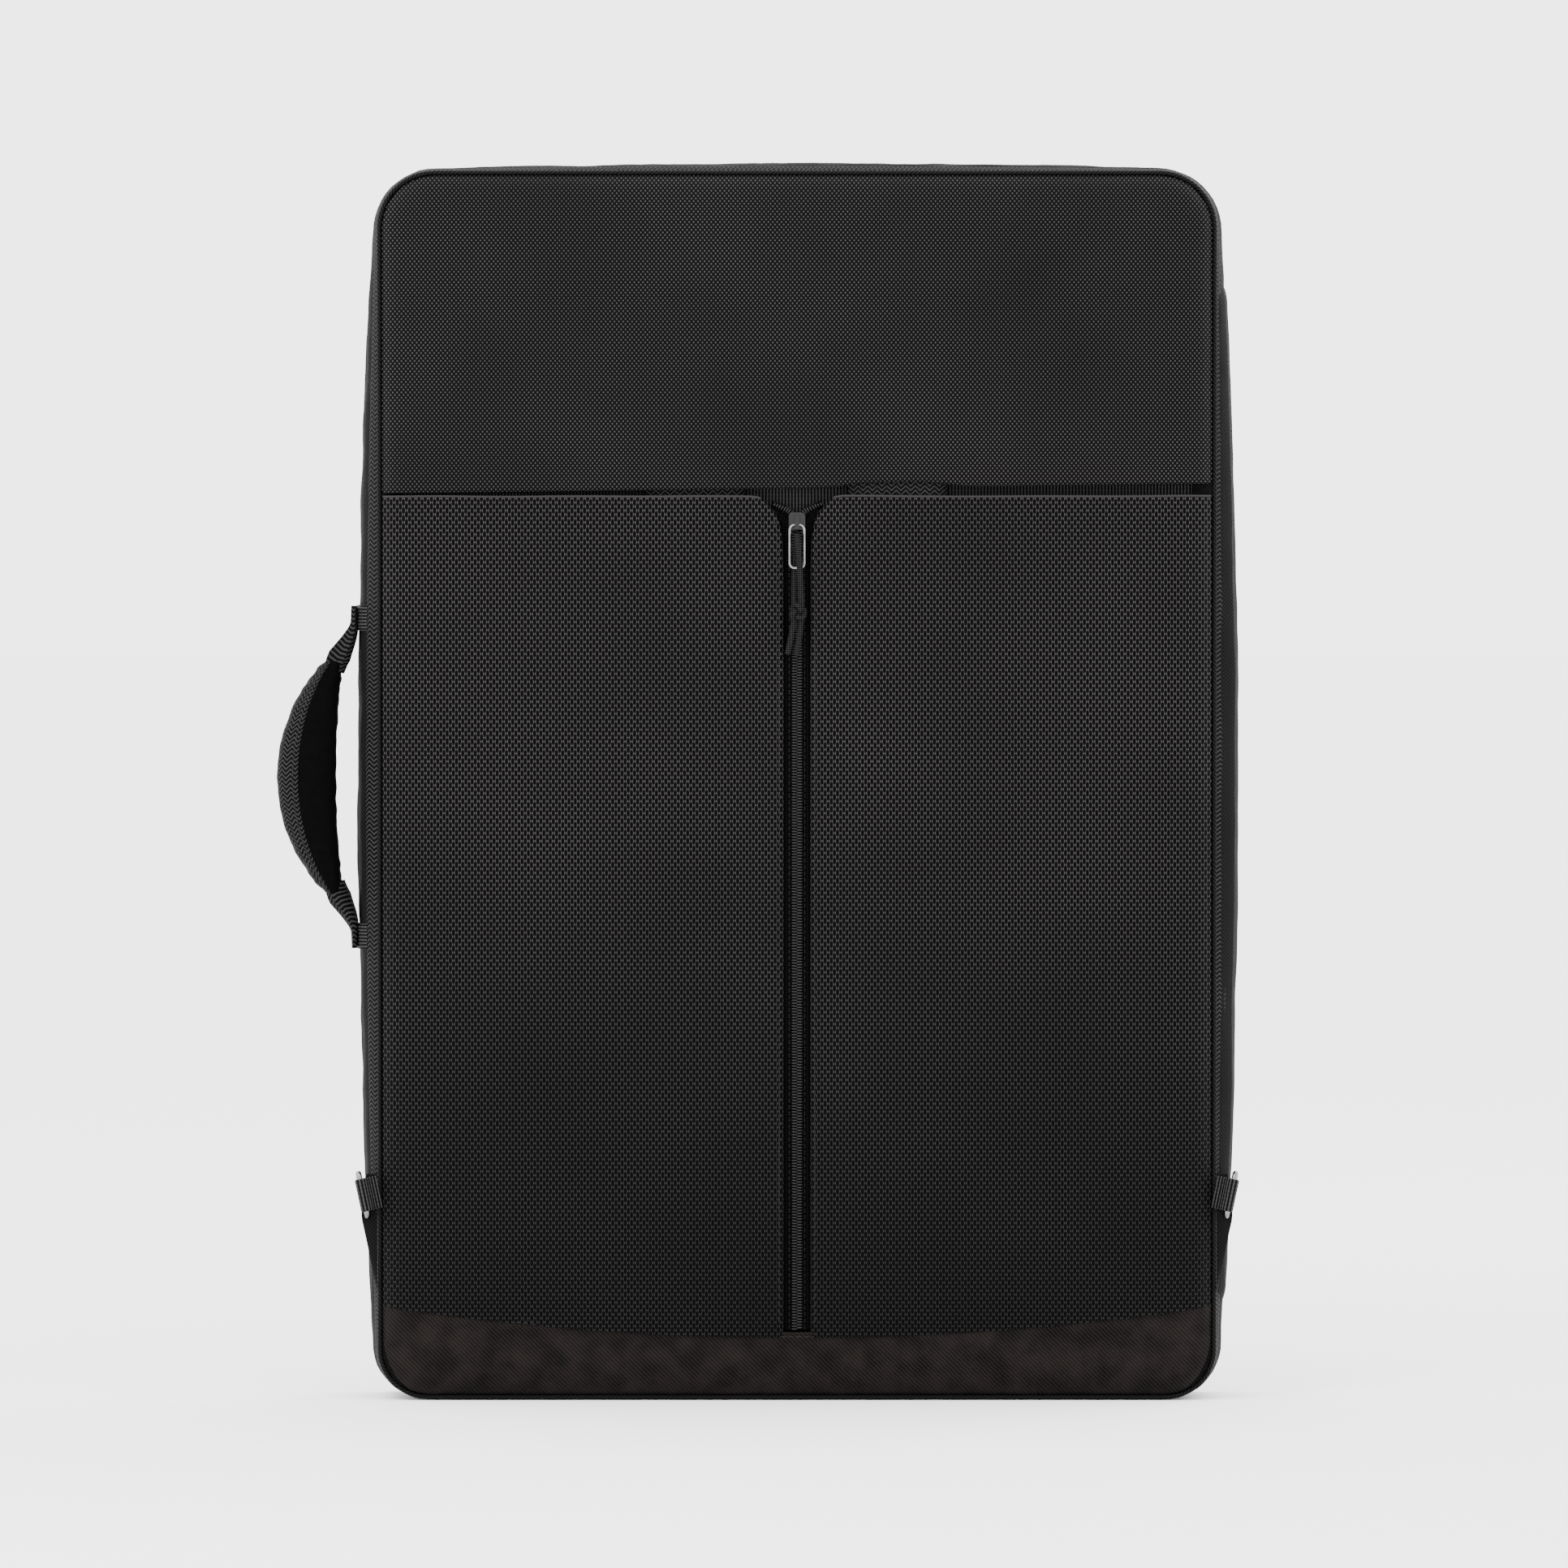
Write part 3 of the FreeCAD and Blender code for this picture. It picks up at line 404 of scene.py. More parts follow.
def mouth_line(x):
    return MOUTH + 0.6 - 2.6 * math.exp(-(max(abs(x) - 13, 0) / 6.0) ** 2) + 0.8 * soft(x, 0, 60, 3)


def fold(over, radius, turn):
    """Where fabric goes past the start of a fold: (further along, drop)."""
    if over <= 0:
        return over, 0.0
    angle = over / radius
    if angle <= turn:
        return radius * math.sin(angle), radius * (1 - math.cos(angle))
    rest = over - radius * turn
    return (radius * math.sin(turn) + rest * math.cos(turn),
            radius * (1 - math.cos(turn)) + rest * math.sin(turn))


# ---- materials ----------------------------------------------------------------------
TIMES = {"operation": "MULTIPLY"}
PLUS = {"operation": "ADD"}
SCALED_SUM = {"operation": "MULTIPLY_ADD"}
EASED = {"interpolation_type": "SMOOTHSTEP"}
FLAT = {"uv_map": "flat"}


def start_material(name, shade, roughness, sheen=0.0, tint="#8c8a90", shine=0.03, metal=0.0):
    """A plain surface. A cloth's threads swallow most clear reflections, so shine is low."""
    mat = bpy.data.materials.new(name)
    mat.use_nodes = True
    surface = mat.node_tree.nodes["Principled BSDF"].inputs
    surface["Base Color"].default_value = colour(shade)
    surface["Roughness"].default_value = roughness
    surface["Sheen Weight"].default_value = sheen
    surface["Sheen Roughness"].default_value = 0.45
    surface["Sheen Tint"].default_value = colour(tint)
    surface["Specular IOR Level"].default_value = shine
    surface["Metallic"].default_value = metal
    return mat


def flat_xz(mat):
    """Where a point lies on the flat cloth, across and up, in metres."""
    across = add(mat, "SeparateXYZ", {}, [add(mat, "UVMap", FLAT)])
    return across, across.node.outputs[1]


def ripple(mat, along, period):
    """A cosine wave of one period in metres along one coordinate."""
    turned = add(mat, "Math", TIMES, [along, 2 * math.pi / period])
    return add(mat, "Math", {"operation": "COSINE"}, [turned])


def finish_cloth(mat, factor, dark, light, height, depth):
    """Shades the surface between two colours and gives it a relief of that depth in metres."""
    surface = mat.node_tree.nodes["Principled BSDF"].inputs
    tone = add(mat, "Mix", {"data_type": "RGBA"}, {"Factor": factor, 6: colour(dark), 7: colour(light)}, 2)
    relief = add(mat, "Bump", {}, {"Height": height, "Distance": depth, "Strength": 1.0})
    mat.node_tree.links.new(tone, surface["Base Color"])
    mat.node_tree.links.new(relief, surface["Normal"])
    return mat


def ballistic_nylon():
    """Coated 1680 denier basket weave: a coarse grid of floats, coloured lighter grey as a painted
    highlight on each float.
    """
    mat = start_material("ballistic_nylon_woven", "#1c1c1d", 0.62, 0.02)
    spot = add(mat, "UVMap", FLAT)
    x, z = flat_xz(mat)
    # the weave repeats every 1.64 by 1.96 mm and is drawn 1.4 times as coarse so that it shows
    weave = add(mat, "Math", TIMES, [ripple(mat, x, 0.0023), ripple(mat, z, 0.00274)])
    floats = add(mat, "MapRange", EASED, [weave, 0.0, 0.95])
    patches = add(mat, "TexNoise", {}, {"Vector": spot, "Scale": 1 / 0.09, "Detail": 3.0})
    worn = add(mat, "Math", SCALED_SUM, [patches, 0.9, 0.45])
    # the floats' light grey is a painted highlight, the weave's shine put into its colour
    return finish_cloth(mat, add(mat, "Math", TIMES, [floats, worn]), "#030303", "#383636", floats, 0.00035)


def spacer_mesh():
    """Knitted 3-D spacer mesh: rows of dark holes in a softly shining net."""
    mat = start_material("spacer_mesh_knitted", "#19191a", 0.7, 0.02)
    spot = add(mat, "UVMap", FLAT)
    x, z = flat_xz(mat)
    # tall holes 3.27 mm apart across and 4.17 mm apart up, every other row set between
    rows = add(mat, "Math", TIMES, [ripple(mat, x, 0.00327), ripple(mat, z, 0.00417)])
    net = add(mat, "Math", SCALED_SUM, [rows, 2.0, ripple(mat, x, 0.001635)])
    yarn = add(mat, "MapRange", EASED, [net, -0.5, -1.2])
    # painted top light: the upper part is coloured lighter and the foot darker, as light from above falls
    # on it
    painted_top_light = add(mat, "MapRange", EASED, [z, 0.03, 0.36, 0.45, 1.0])
    patches = add(mat, "TexNoise", {}, {"Vector": spot, "Scale": 1 / 0.12, "Detail": 2.0})
    worn = add(mat, "Math", SCALED_SUM, [patches, 0.8, 0.5])
    lit = add(mat, "Math", TIMES, [add(mat, "Math", TIMES, [yarn, painted_top_light]), worn])
    return finish_cloth(mat, lit, "#010101", "#312f2f", yarn, 0.0007)


def fine_nylon():
    """Fine twill with a slight shine and a warm cast, blotched where the backing shows."""
    mat = start_material("kick_panel_twill", "#161413", 0.5, 0.02, "#8d8380")
    spot = add(mat, "UVMap", FLAT)
    x, z = flat_xz(mat)
    # the twill repeats every 1.2 mm and is drawn at 2.4 mm
    slant = add(mat, "Math", PLUS, [x, z])
    rib = add(mat, "MapRange", EASED, [ripple(mat, slant, 0.0024), -0.6, 0.6])
    patches = add(mat, "TexNoise", {}, {"Vector": spot, "Scale": 1 / 0.014, "Detail": 5.0})
    blotch = add(mat, "MapRange", EASED, [patches, 0.25, 0.75])
    tone = add(mat, "Math", SCALED_SUM, [blotch, 0.5, add(mat, "Math", TIMES, [rib, 0.5])])
    return finish_cloth(mat, tone, "#020202", "#1b1716", rib, 0.00012)


def shell_polyester():
    """600 denier polyester: an even plain weave for the gusset, spine and covers."""
    mat = start_material("shell_polyester_woven", "#1a191a", 0.68, 0.02)
    spot = add(mat, "UVMap", FLAT)
    x, z = flat_xz(mat)
    # threads 0.6 mm apart, drawn at 2 mm
    weave = add(mat, "Math", TIMES, [ripple(mat, x, 0.002), ripple(mat, z, 0.002)])
    floats = add(mat, "MapRange", EASED, [weave, -0.6, 0.6])
    patches = add(mat, "TexNoise", {}, {"Vector": spot, "Scale": 1 / 0.05, "Detail": 3.0})
    tone = add(mat, "Math", SCALED_SUM, [patches, 0.4, add(mat, "Math", TIMES, [floats, 0.6])])
    return finish_cloth(mat, tone, "#030303", "#131212", floats, 0.0002)


def herringbone_tape():
    """Woven seam binding: two slanting ribs that meet in a row of small arrows."""
    mat = start_material("seam_binding_herringbone", "#1d1c1d", 0.6, 0.02)
    x, z = flat_xz(mat)
    fan = add(mat, "Math", {"operation": "PINGPONG"}, [x, 0.0025])
    slant = add(mat, "Math", PLUS, [z, fan])
    rib = add(mat, "MapRange", EASED, [ripple(mat, slant, 0.0024), -0.2, 0.6])
    return finish_cloth(mat, rib, "#020202", "#282727", rib, 0.0003)


def ribbed_webbing():
    """Polypropylene webbing: firm ribs across the strap every 1.7 mm."""
    mat = start_material("webbing_ribbed", "#151516", 0.55, 0.02)
    x, z = flat_xz(mat)
    rib = add(mat, "MapRange", EASED, [ripple(mat, z, 0.00171), -0.7, 0.7])
    warp = add(mat, "MapRange", EASED, [ripple(mat, x, 0.0021), -0.8, 0.6])
    lit = add(mat, "Math", SCALED_SUM, [warp, 0.3, 0.7])
    return finish_cloth(mat, add(mat, "Math", TIMES, [rib, lit]), "#020202", "#343333", rib, 0.0004)


def bias_piping():
    """Bias-cut nylon pulled round a cord: slanting threads and a soft top light."""
    mat = start_material("piping_bias_nylon", "#151516", 0.5, 0.02)
    x, z = flat_xz(mat)
    slant = add(mat, "Math", PLUS, [x, z])
    thread = add(mat, "MapRange", EASED, [ripple(mat, slant, 0.0022), -0.5, 0.5])
    return finish_cloth(mat, thread, "#050505", "#151515", thread, 0.00015)


def zip_weave():
    """Close-woven zip tape: flat, dark and matt, with fine lengthwise ribs."""
    mat = start_material("zip_tape_woven", "#0d0d0e", 0.75)
    x, z = flat_xz(mat)
    rib = add(mat, "MapRange", EASED, [ripple(mat, x, 0.0018), -0.6, 0.6])
    pick = add(mat, "MapRange", EASED, [ripple(mat, z, 0.0016), -0.6, 0.6])
    return finish_cloth(mat, add(mat, "Math", TIMES, [rib, pick]), "#020202", "#0a0a0a", rib, 0.0002)


def smooth_lining():
    """Smooth lining cloth with a faint crosswise thread."""
    mat = start_material("lining_plain_cloth", "#1b1b1d", 0.6, 0.02)
    spot = add(mat, "UVMap", FLAT)
    z = flat_xz(mat)[1]
    thread = add(mat, "MapRange", EASED, [ripple(mat, z, 0.0016), -0.8, 0.8])
    patches = add(mat, "TexNoise", {}, {"Vector": spot, "Scale": 1 / 0.08, "Detail": 3.0})
    tone = add(mat, "Math", SCALED_SUM, [patches, 0.3, add(mat, "Math", TIMES, [thread, 0.3])])
    return finish_cloth(mat, tone, "#111112", "#1f1f21", thread, 0.0001)


def grip_microfibre():
    """Brushed microfibre over foam: very dark, almost no shine."""
    mat = start_material("grip_microfibre", "#0b0a0b", 0.9, 0.01, "#5c5a5e")
    spot = add(mat, "UVMap", FLAT)
    nap = add(mat, "TexNoise", {}, {"Vector": spot, "Scale": 1 / 0.004, "Detail": 4.0})
    return finish_cloth(mat, nap, "#010101", "#040404", nap, 0.0002)


def braided_cord():
    """Braided polyester cord: short crossing strands that catch the light."""
    mat = start_material("cord_braided_polyester", "#161617", 0.5, 0.02)
    x = add(mat, "SeparateXYZ", {}, [add(mat, "TexCoord", out=3)])
    z = x.node.outputs[2]
    # strands cross every 1.6 mm and are drawn at 2.2 mm
    one = ripple(mat, add(mat, "Math", SCALED_SUM, [x, 1.2, z]), 0.0022)
    two = ripple(mat, add(mat, "Math", SCALED_SUM, [x, -1.2, z]), 0.0022)
    crossing = add(mat, "Math", TIMES, [one, two])
    strand = add(mat, "MapRange", EASED, [crossing, -0.4, 0.5])
    return finish_cloth(mat, strand, "#020202", "#272626", strand, 0.0005)


def black_nickel():
    """Black nickel plate on drawn wire: a dark mirror with faint wear."""
    mat = start_material("black_nickel_plate", "#4a4a4b", 0.18, metal=1.0)
    surface = mat.node_tree.nodes["Principled BSDF"].inputs
    spot = add(mat, "TexCoord", out=3)
    worn = add(mat, "TexNoise", {}, {"Vector": spot, "Scale": 1 / 0.006, "Detail": 4.0})
    tone = add(mat, "Mix", {"data_type": "RGBA"},
               {"Factor": worn, 6: colour("#38383a"), 7: colour("#929293")}, 2)
    polish = add(mat, "MapRange", EASED, [worn, 0.3, 0.7, 0.12, 0.26])
    mat.node_tree.links.new(tone, surface["Base Color"])
    mat.node_tree.links.new(polish, surface["Roughness"])
    return mat


def moulded_acetal():
    """Injection-moulded acetal: satin black with a fine spark texture."""
    mat = start_material("acetal_moulded", "#101011", 0.42)
    spot = add(mat, "TexCoord", out=3)
    grain = add(mat, "TexNoise", {}, {"Vector": spot, "Scale": 1 / 0.0012, "Detail": 2.0})
    return finish_cloth(mat, grain, "#0d0d0e", "#141415", grain, 0.00005)


def extruded_board():
    """Extruded polypropylene board: grey with faint lengthwise flutes."""
    mat = start_material("board_polypropylene", "#4f4f52", 0.5)
    x = add(mat, "SeparateXYZ", {}, [add(mat, "TexCoord", out=3)])
    flute = add(mat, "MapRange", EASED, [ripple(mat, x, 0.004), -1.0, 1.0])
    return finish_cloth(mat, flute, "#454548", "#57575a", flute, 0.0001)


BALLISTIC = ballistic_nylon()
MESH = spacer_mesh()
TWILL = fine_nylon()
SHELL = shell_polyester()
BINDING = herringbone_tape()
WEBBING = ribbed_webbing()
PIPED = bias_piping()
TAPE = zip_weave()
LINING = smooth_lining()
GRIP = grip_microfibre()
BRAID = braided_cord()
# bonded nylon sewing thread, a shade lighter than the cloth it holds
STITCH = start_material("thread_bonded_nylon", "#201f1f", 0.4)
# drawn nylon monofilament wound into coil teeth: smooth with small bright glints
COIL = start_material("coil_teeth_nylon", "#0b0b0b", 0.3, shine=0.2)
# mesh backing pressed flat along a fold: a thin pale line
PRESSED = start_material("pressed_fold_knit", "#282626", 0.45)
NICKEL = black_nickel()
# black lacquer on die-cast zinc slider bodies: dark, with small clear highlights
LACQUER = start_material("slider_lacquered_zinc", "#060606", 0.22, shine=0.25)
ACETAL = moulded_acetal()
BOARD = extruded_board()
# white background paper, matt
PAPER = start_material("background_paper", "#fafafa", 0.9)


# ---- camera, floor and light --------------------------------------------------------
def camera_and_light():
    scene = bpy.context.scene
    lens = bpy.data.cameras.new("long_lens")
    lens.sensor_width = 36.0
    distance = 5.965
    seen_width = 0.8219
    lens.lens = lens.sensor_width * distance / seen_width
    lens.clip_end = 100
    cam = bpy.data.objects.new("camera", lens)
    target = Vector((-0.0068, -0.035, 0.3237))
    raised = 0.125
    cam.location = (target.x, target.y - distance, target.z + raised)
    cam.rotation_mode = "QUATERNION"
    cam.rotation_quaternion = (target - cam.location).to_track_quat("-Z", "Y")
    scene.collection.objects.link(cam)
    scene.camera = cam

    sides = 48
    pts = [(0, 0, 0)]
    faces = []
    for i, far in enumerate(np.geomspace(500, 40000, 12)):
        for k in range(sides):
            w = 2 * math.pi * k / sides
            pts.append((far * math.cos(w), far * math.sin(w), 0))
            n = (k + 1) % sides
            outer = 1 + i * sides
            inner = outer - sides
            faces.append((inner + k, outer + k, outer + n, inner + n) if i else (0, outer + k, outer + n))
    floor = piece("paper_floor", pts, faces, np.array(pts)[:, :2], PAPER, None)

    world = bpy.data.worlds.new("studio")
    world.use_nodes = True
    sky = world.node_tree.nodes["Background"]
    sky.inputs[0].default_value = (1, 1, 1, 1)
    sky.inputs[1].default_value = 4.0
    scene.world = world
    for name, spot, size, power in (
            ("key_softbox", (-0.9, -1.5, 1.75), 0.7, 22), ("rim_softbox", (1.6, 1.8, 1.9), 0.9, 20)):
        lamp = bpy.data.lights.new(name, "AREA")
        lamp.size = size
        lamp.energy = power
        made = bpy.data.objects.new(name, lamp)
        made.location = spot
        aim = Vector((0, 0, 0.33))
        made.rotation_mode = "QUATERNION"
        made.rotation_quaternion = (aim - made.location).to_track_quat("-Z", "Y")
        scene.collection.objects.link(made)


# ---- cord on the centre pull --------------------------------------------------------
def cord_strand(name, route, node):
    curve = bpy.data.curves.new(name, "CURVE")
    curve.dimensions = "3D"
    curve.bevel_depth = CORD / 2 * MM
    curve.bevel_resolution = 4
    curve.resolution_u = 12
    curve.use_fill_caps = True
    line = curve.splines.new("NURBS")
    line.points.add(len(route) - 1)
    for point, place in zip(line.points, route):
        point.co = (*(c * MM for c in place), 1)
    line.order_u = 3
    line.use_endpoint_u = True
    curve.materials.append(BRAID)
    made = bpy.data.objects.new(name, curve)
    bpy.context.scene.collection.objects.link(made)
    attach(made, "flap_pull")
    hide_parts(node)
    return made


def overhand_knot():
    """The cord's overhand knot: one loop crossing itself three times, pulled tight."""
    t = np.linspace(0, 2 * math.pi, 90, endpoint=False)
    x = (2 + np.cos(3 * t)) * np.cos(2 * t) / 3 * 3.5
    z = (2 + np.cos(3 * t)) * np.sin(2 * t) / 3 * 4.4
    y = np.sin(3 * t) * 2.7
    path = np.stack([x, y, z], 1) + np.array(KNOT_AT)
    path = np.vstack([path, path[:1]])
    side = np.cross(tangents(path, True), (0, 1, 0.2))
    pts, flat = swept(path, round_section(CORD / 2 * 0.94, 11), side)
    return cloth("cord_knot", pts, flat, BRAID, "flap_pull", ["pull_knot"], None)


def cut_ends():
    """The two melted cord ends."""
    shapes = []
    for route in (CORD_LEFT, CORD_RIGHT):
        end = np.array(route[-1], float)
        way = end - np.array(route[-2], float)
        way /= np.linalg.norm(way)
        shapes.append(rod(end - way * 0.6, end + way * 0.4, CORD / 2 * 0.96, 10, 0.3))
    return many("cord_melted_ends", shapes, BRAID, "flap_pull")


def pull_cord():
    left = cord_strand("cord_left", CORD_LEFT, "pull_cord_left")
    right = cord_strand("cord_right", CORD_RIGHT, "pull_cord_right")
    knot = overhand_knot()
    ends = cut_ends()


# ---- pads of the stow pocket --------------------------------------------------------
def pad_points(xs_at, zs_at, us, vs, height):
    """A pad as rows of points. xs_at(z) gives its left and right side, zs_at(x) its
    lower and upper edge."""
    rows = []
    flats = []
    low, high = zs_at(0)
    for v in vs:
        row = []
        flat = []
        z_nominal = low + (high - low) * v
        for u in us:
            left, right = xs_at(z_nominal)
            x = left + (right - left) * u
            bottom, top = zs_at(x)
            z = bottom + (top - bottom) * v
            row.append((x, height(x, z), z))
            flat.append((x, z))
        rows.append(row)
        flats.append(flat)
    return np.array(rows), np.array(flats)


def fold_side(points, flats, axis, last, radius, turn, deep, count=9):
    """Adds rows (axis 0) or columns (axis 1) that roll the edge inward, toward +Y."""
    pts = points if axis == 0 else points.transpose(1, 0, 2)
    fl = flats if axis == 0 else flats.transpose(1, 0, 2)
    edge = pts[-1] if last else pts[0]
    near = pts[-2] if last else pts[1]
    flat_edge = fl[-1] if last else fl[0]
    flat_near = fl[-2] if last else fl[1]
    way = edge - near
    way[:, 1] = 0
    way /= np.linalg.norm(way, axis=1)[:, None]
    flat_way = flat_edge - flat_near
    flat_way /= np.linalg.norm(flat_way, axis=1)[:, None]
    overs = np.append(np.linspace(0, radius * turn, count)[1:], radius * turn + deep)
    more = []
    more_flat = []
    for over in overs:
        along, drop = fold(over, radius, turn)
        more.append(edge + way * along + np.array([0, drop, 0]))
        more_flat.append(flat_edge + flat_way * over)
    more = np.array(more)
    more_flat = np.array(more_flat)
    if last:
        pts = np.concatenate([pts, more])
        fl = np.concatenate([fl, more_flat])
    else:
        pts = np.concatenate([more[::-1], pts])
        fl = np.concatenate([more_flat[::-1], fl])
    if axis == 1:
        return pts.transpose(1, 0, 2), fl.transpose(1, 0, 2)
    return pts, fl


def yoke_height(x, z):
    slack = 0.9 * soft(x, z, 150, 1) + 0.25 * soft(x, z, 45, 2)
    pucker = 0.18 * math.sin(x / 2.1 + 2 * soft(x, z, 30, 4)) * math.exp(-abs(z - yoke_line(x)) / 6)
    share = pad_share(x, z)
    return POCKET_FLOOR - BACK_CROWN * share - (slack + pucker) * min(1, share * 1.3)


def flap_height(x, z):
    """Spacer mesh puffs up between its seams and is drawn down along them."""
    share = pad_share(x, z)
    free = min(abs(x) - flap_edge(z), mouth_line(x) - z)
    puff = 1.1 * soft(x, z, 170, 11) + 0.6 * soft(x, z, 60, 12) + 0.15 * soft(x, z, 22, 13)
    drawn = 1.2 * math.exp(-max(z - kick_line(x), 0) / 5) + 0.8 * math.exp(-max(free, 0) / 4)
    return POCKET_FLOOR - BACK_CROWN * share - (puff - drawn) * min(1, share * 1.2)


def kick_height(x, z):
    share = pad_share(x, z)
    slack = 0.7 * soft(x, z, 70, 21) + 0.3 * soft(x, z, 25, 22)
    hem = 1.0 * math.exp(-max(kick_line(x) - z, 0) / 2.5)
    return POCKET_FLOOR - KICK_CROWN * share - (slack + hem) * min(1, share * 1.2)


def yoke():
    """The plain ballistic yoke, drawn slightly slack between its seams."""
    top = FACE_TOP - 1.4
    us = steps(2 * HALF, 0.7, 3.0) / (2 * HALF)
    vs = steps(top - 478, 0.7, 3.0) / (top - 478)
    pts, flats = pad_points(lambda z: (-side_at(z, 1.4), side_at(z, 1.4)),
                            lambda x: (yoke_line(x) + 1.5, top), us, vs, yoke_height)
    pts, flats = fold_side(pts, flats, 0, False, 1.5, math.pi, 9.0)
    pad = cloth("yoke_cloth", pts, flats, BALLISTIC, "back_shell", ["yoke_panel"])


def flap(side, name, node):
    """One mesh flap, folded over at the mouth and at the zip."""
    us = steps(HALF - 9, 0.7, 2.6) / (HALF - 9)
    vs = steps(432, 0.8, 2.8) / 432
    if side < 0:
        def sides(z):
            return -side_at(z, 1.4), -flap_edge(z) - 1.6
    else:
        def sides(z):
            return flap_edge(z) + 1.6, side_at(z, 1.4)
    pts, flats = pad_points(sides, lambda x: (kick_line(x) - 3, mouth_line(x) - 1.6), us, vs,
                            flap_height)
    pts, flats = fold_side(pts, flats, 1, side < 0, 1.6, math.pi / 2, 2.2)
    pts, flats = fold_side(pts, flats, 0, True, 1.6, math.pi, 10.0)
    made = cloth(name, pts, flats, MESH, "back_shell", [node])


def mouth_hem(side, word):
    """The folded top edge of a flap, pressed flat and slightly shiny."""
    xs = side * np.linspace(19, side_at(MOUTH, 1.4) - 0.8, 130)
    path = [(x, flap_height(x, mouth_line(x)) + 0.5, mouth_line(x) - 0.2) for x in xs]
    section = round_section(0.65, 11)[:-1]
    sweep_piece("mouth_hem_" + word, path, section, (0, 1, 0), PRESSED, "back_shell")


def kick():
    """The kick panel at the foot of the pocket, flat and without foam."""
    low = FACE_BASE + 1.4
    us = steps(2 * HALF, 0.7, 2.8) / (2 * HALF)
    vs = steps(37, 0.7, 1.8) / 37
    pts, flats = pad_points(lambda z: (-side_at(z, 1.4), side_at(z, 1.4)),
                            lambda x: (low, kick_line(x) - 0.7), us, vs, kick_height)
    pts, flats = fold_side(pts, flats, 0, True, 0.7, math.pi, 5.0)
    cloth("kick_cloth", pts, flats, TWILL, "back_shell", ["kick_panel"])


camera_and_light()
pull_cord()
yoke()
for side, word in ((-1, "left"), (1, "right")):
    flap(side, "flap_mesh_" + word, "mesh_flap_" + word)
for side, word in ((-1, "left"), (1, "right")):
    mouth_hem(side, word)
kick()


# ---- gusset, spine and piping -------------------------------------------------------
BACK_SECTIONS = ((-29.8, 0, 0, 0, 0, FACE_BASE), (-19.7, 3.15, 6.8, 2.5, 2.4, -0.2),
                 (-8.0, 4.5, 8, 3, 3, 0.0), (4.2, 4.5, 4.8, 3, 2.1, 0.0))
LID_SECTIONS = ((19.8, 4.05, 1.6, 2.7, 0.6, 0.0), (25.8, 2.25, 0.8, 1.5, 0.1, 0.3),
                (29.8, 0, 0, 0, 0, FACE_BASE))


def between_sections(sections, y):
    ys = [s[0] for s in sections]
    return [float(np.interp(y, ys, [s[k] for s in sections])) for k in range(1, 6)]


def section_rim(sections, y, lift=0.0):
    spread, bow, top_spread, top_bow, base = between_sections(sections, y)
    return rim(HALF + spread + lift, base - lift, FACE_TOP + top_spread + lift,
               CORNER_BASE + spread + lift, CORNER_TOP + spread + lift, bow, top_bow)


def rounded(sections, count):
    """Section heights with the corners between them smoothed."""
    lo, hi = sections[0][0], sections[-1][0]
    ys = np.linspace(lo, hi, count)
    loops = []
    for y in ys:
        near = [section_rim(sections, min(max(y + d, lo), hi)) for d in (-2.4, -1.2, 0, 1.2, 2.4)]
        loops.append(np.average(near, axis=0, weights=(1, 2, 3, 2, 1)))
    return ys, loops


def creased(loop, y, sections):
    """The fabric's soft waves, none at the seams and none on the standing base."""
    way = outward_of(loop)
    lo, hi = sections[0][0], sections[-1][0]
    hold = min(1.0, abs(y - lo) / 6, abs(hi - y) / 4)
    out = loop.copy()
    run = distances(loop)
    for i, z in enumerate(loop[:, 1]):
        wave = 0.9 * soft(run[i], y * 1.5, 60, 31) + 0.6 * soft(run[i], y * 2.2, 21, 32)
        wave += 0.25 * soft(run[i], y * 3, 8, 33)
        on_base = min(1.0, max(0.0, (z - 3) / 12))
        out[i] += way[i] * wave * hold * on_base
    return out


def zip_share(loop):
    """1 where the zip runs and 0 along the spine."""
    on_right = loop[:, 0] > 0
    z = loop[:, 1]
    share = np.ones(len(loop))
    near = np.minimum(z - SPINE_BASE, SPINE_TOP - z)
    share[on_right] = 1 - np.clip(near[on_right] / 4 + 0.5, 0, 1)
    return share


def gusset(name, body, sections, seam_y, edge_y, nodes):
    """The padded wall from the piping to the zip, turned in at the zip's groove."""
    ys, loops = rounded(sections, 17)
    toward = 1 if edge_y > seam_y else -1
    order = list(zip(ys, loops))[::toward]
    rows = [at_depth(creased(loop, y, sections), y) for y, loop in order]
    last = rows[-1]
    way = outward_of(order[-1][1])
    share = zip_share(order[-1][1])
    for deep, forward in ((0.5, 0.5), (1.4, 0.8), (3.5, 0.9), (5.6, 0.9)):
        row = last.copy()
        row[:, 0] -= way[:, 0] * deep * share
        row[:, 2] -= way[:, 1] * deep * share
        row[:, 1] += toward * (forward * share + (1 - share) * deep * 1.2)
        rows.append(row)
    floor = zip_rim(5.9)
    end = last.copy()
    end[:, 0] = floor[:, 0] * share + last[:, 0] * (1 - share)
    end[:, 2] = floor[:, 1] * share + last[:, 2] * (1 - share)
    end[:, 1] = edge_y
    rows.append(end)
    rows.append(at_depth(face_rim(GUSSET_PAD), edge_y - toward * 0.2))
    pts = np.array(rows)
    across = np.linalg.norm(np.diff(pts, axis=0), axis=2).mean(1)
    flats = flat_grid(np.concatenate([[0], np.cumsum(across)]), distances(loops[0]))
    made = cloth(name, pts, flats, SHELL, body, nodes, from_centre(pts, seam_y))


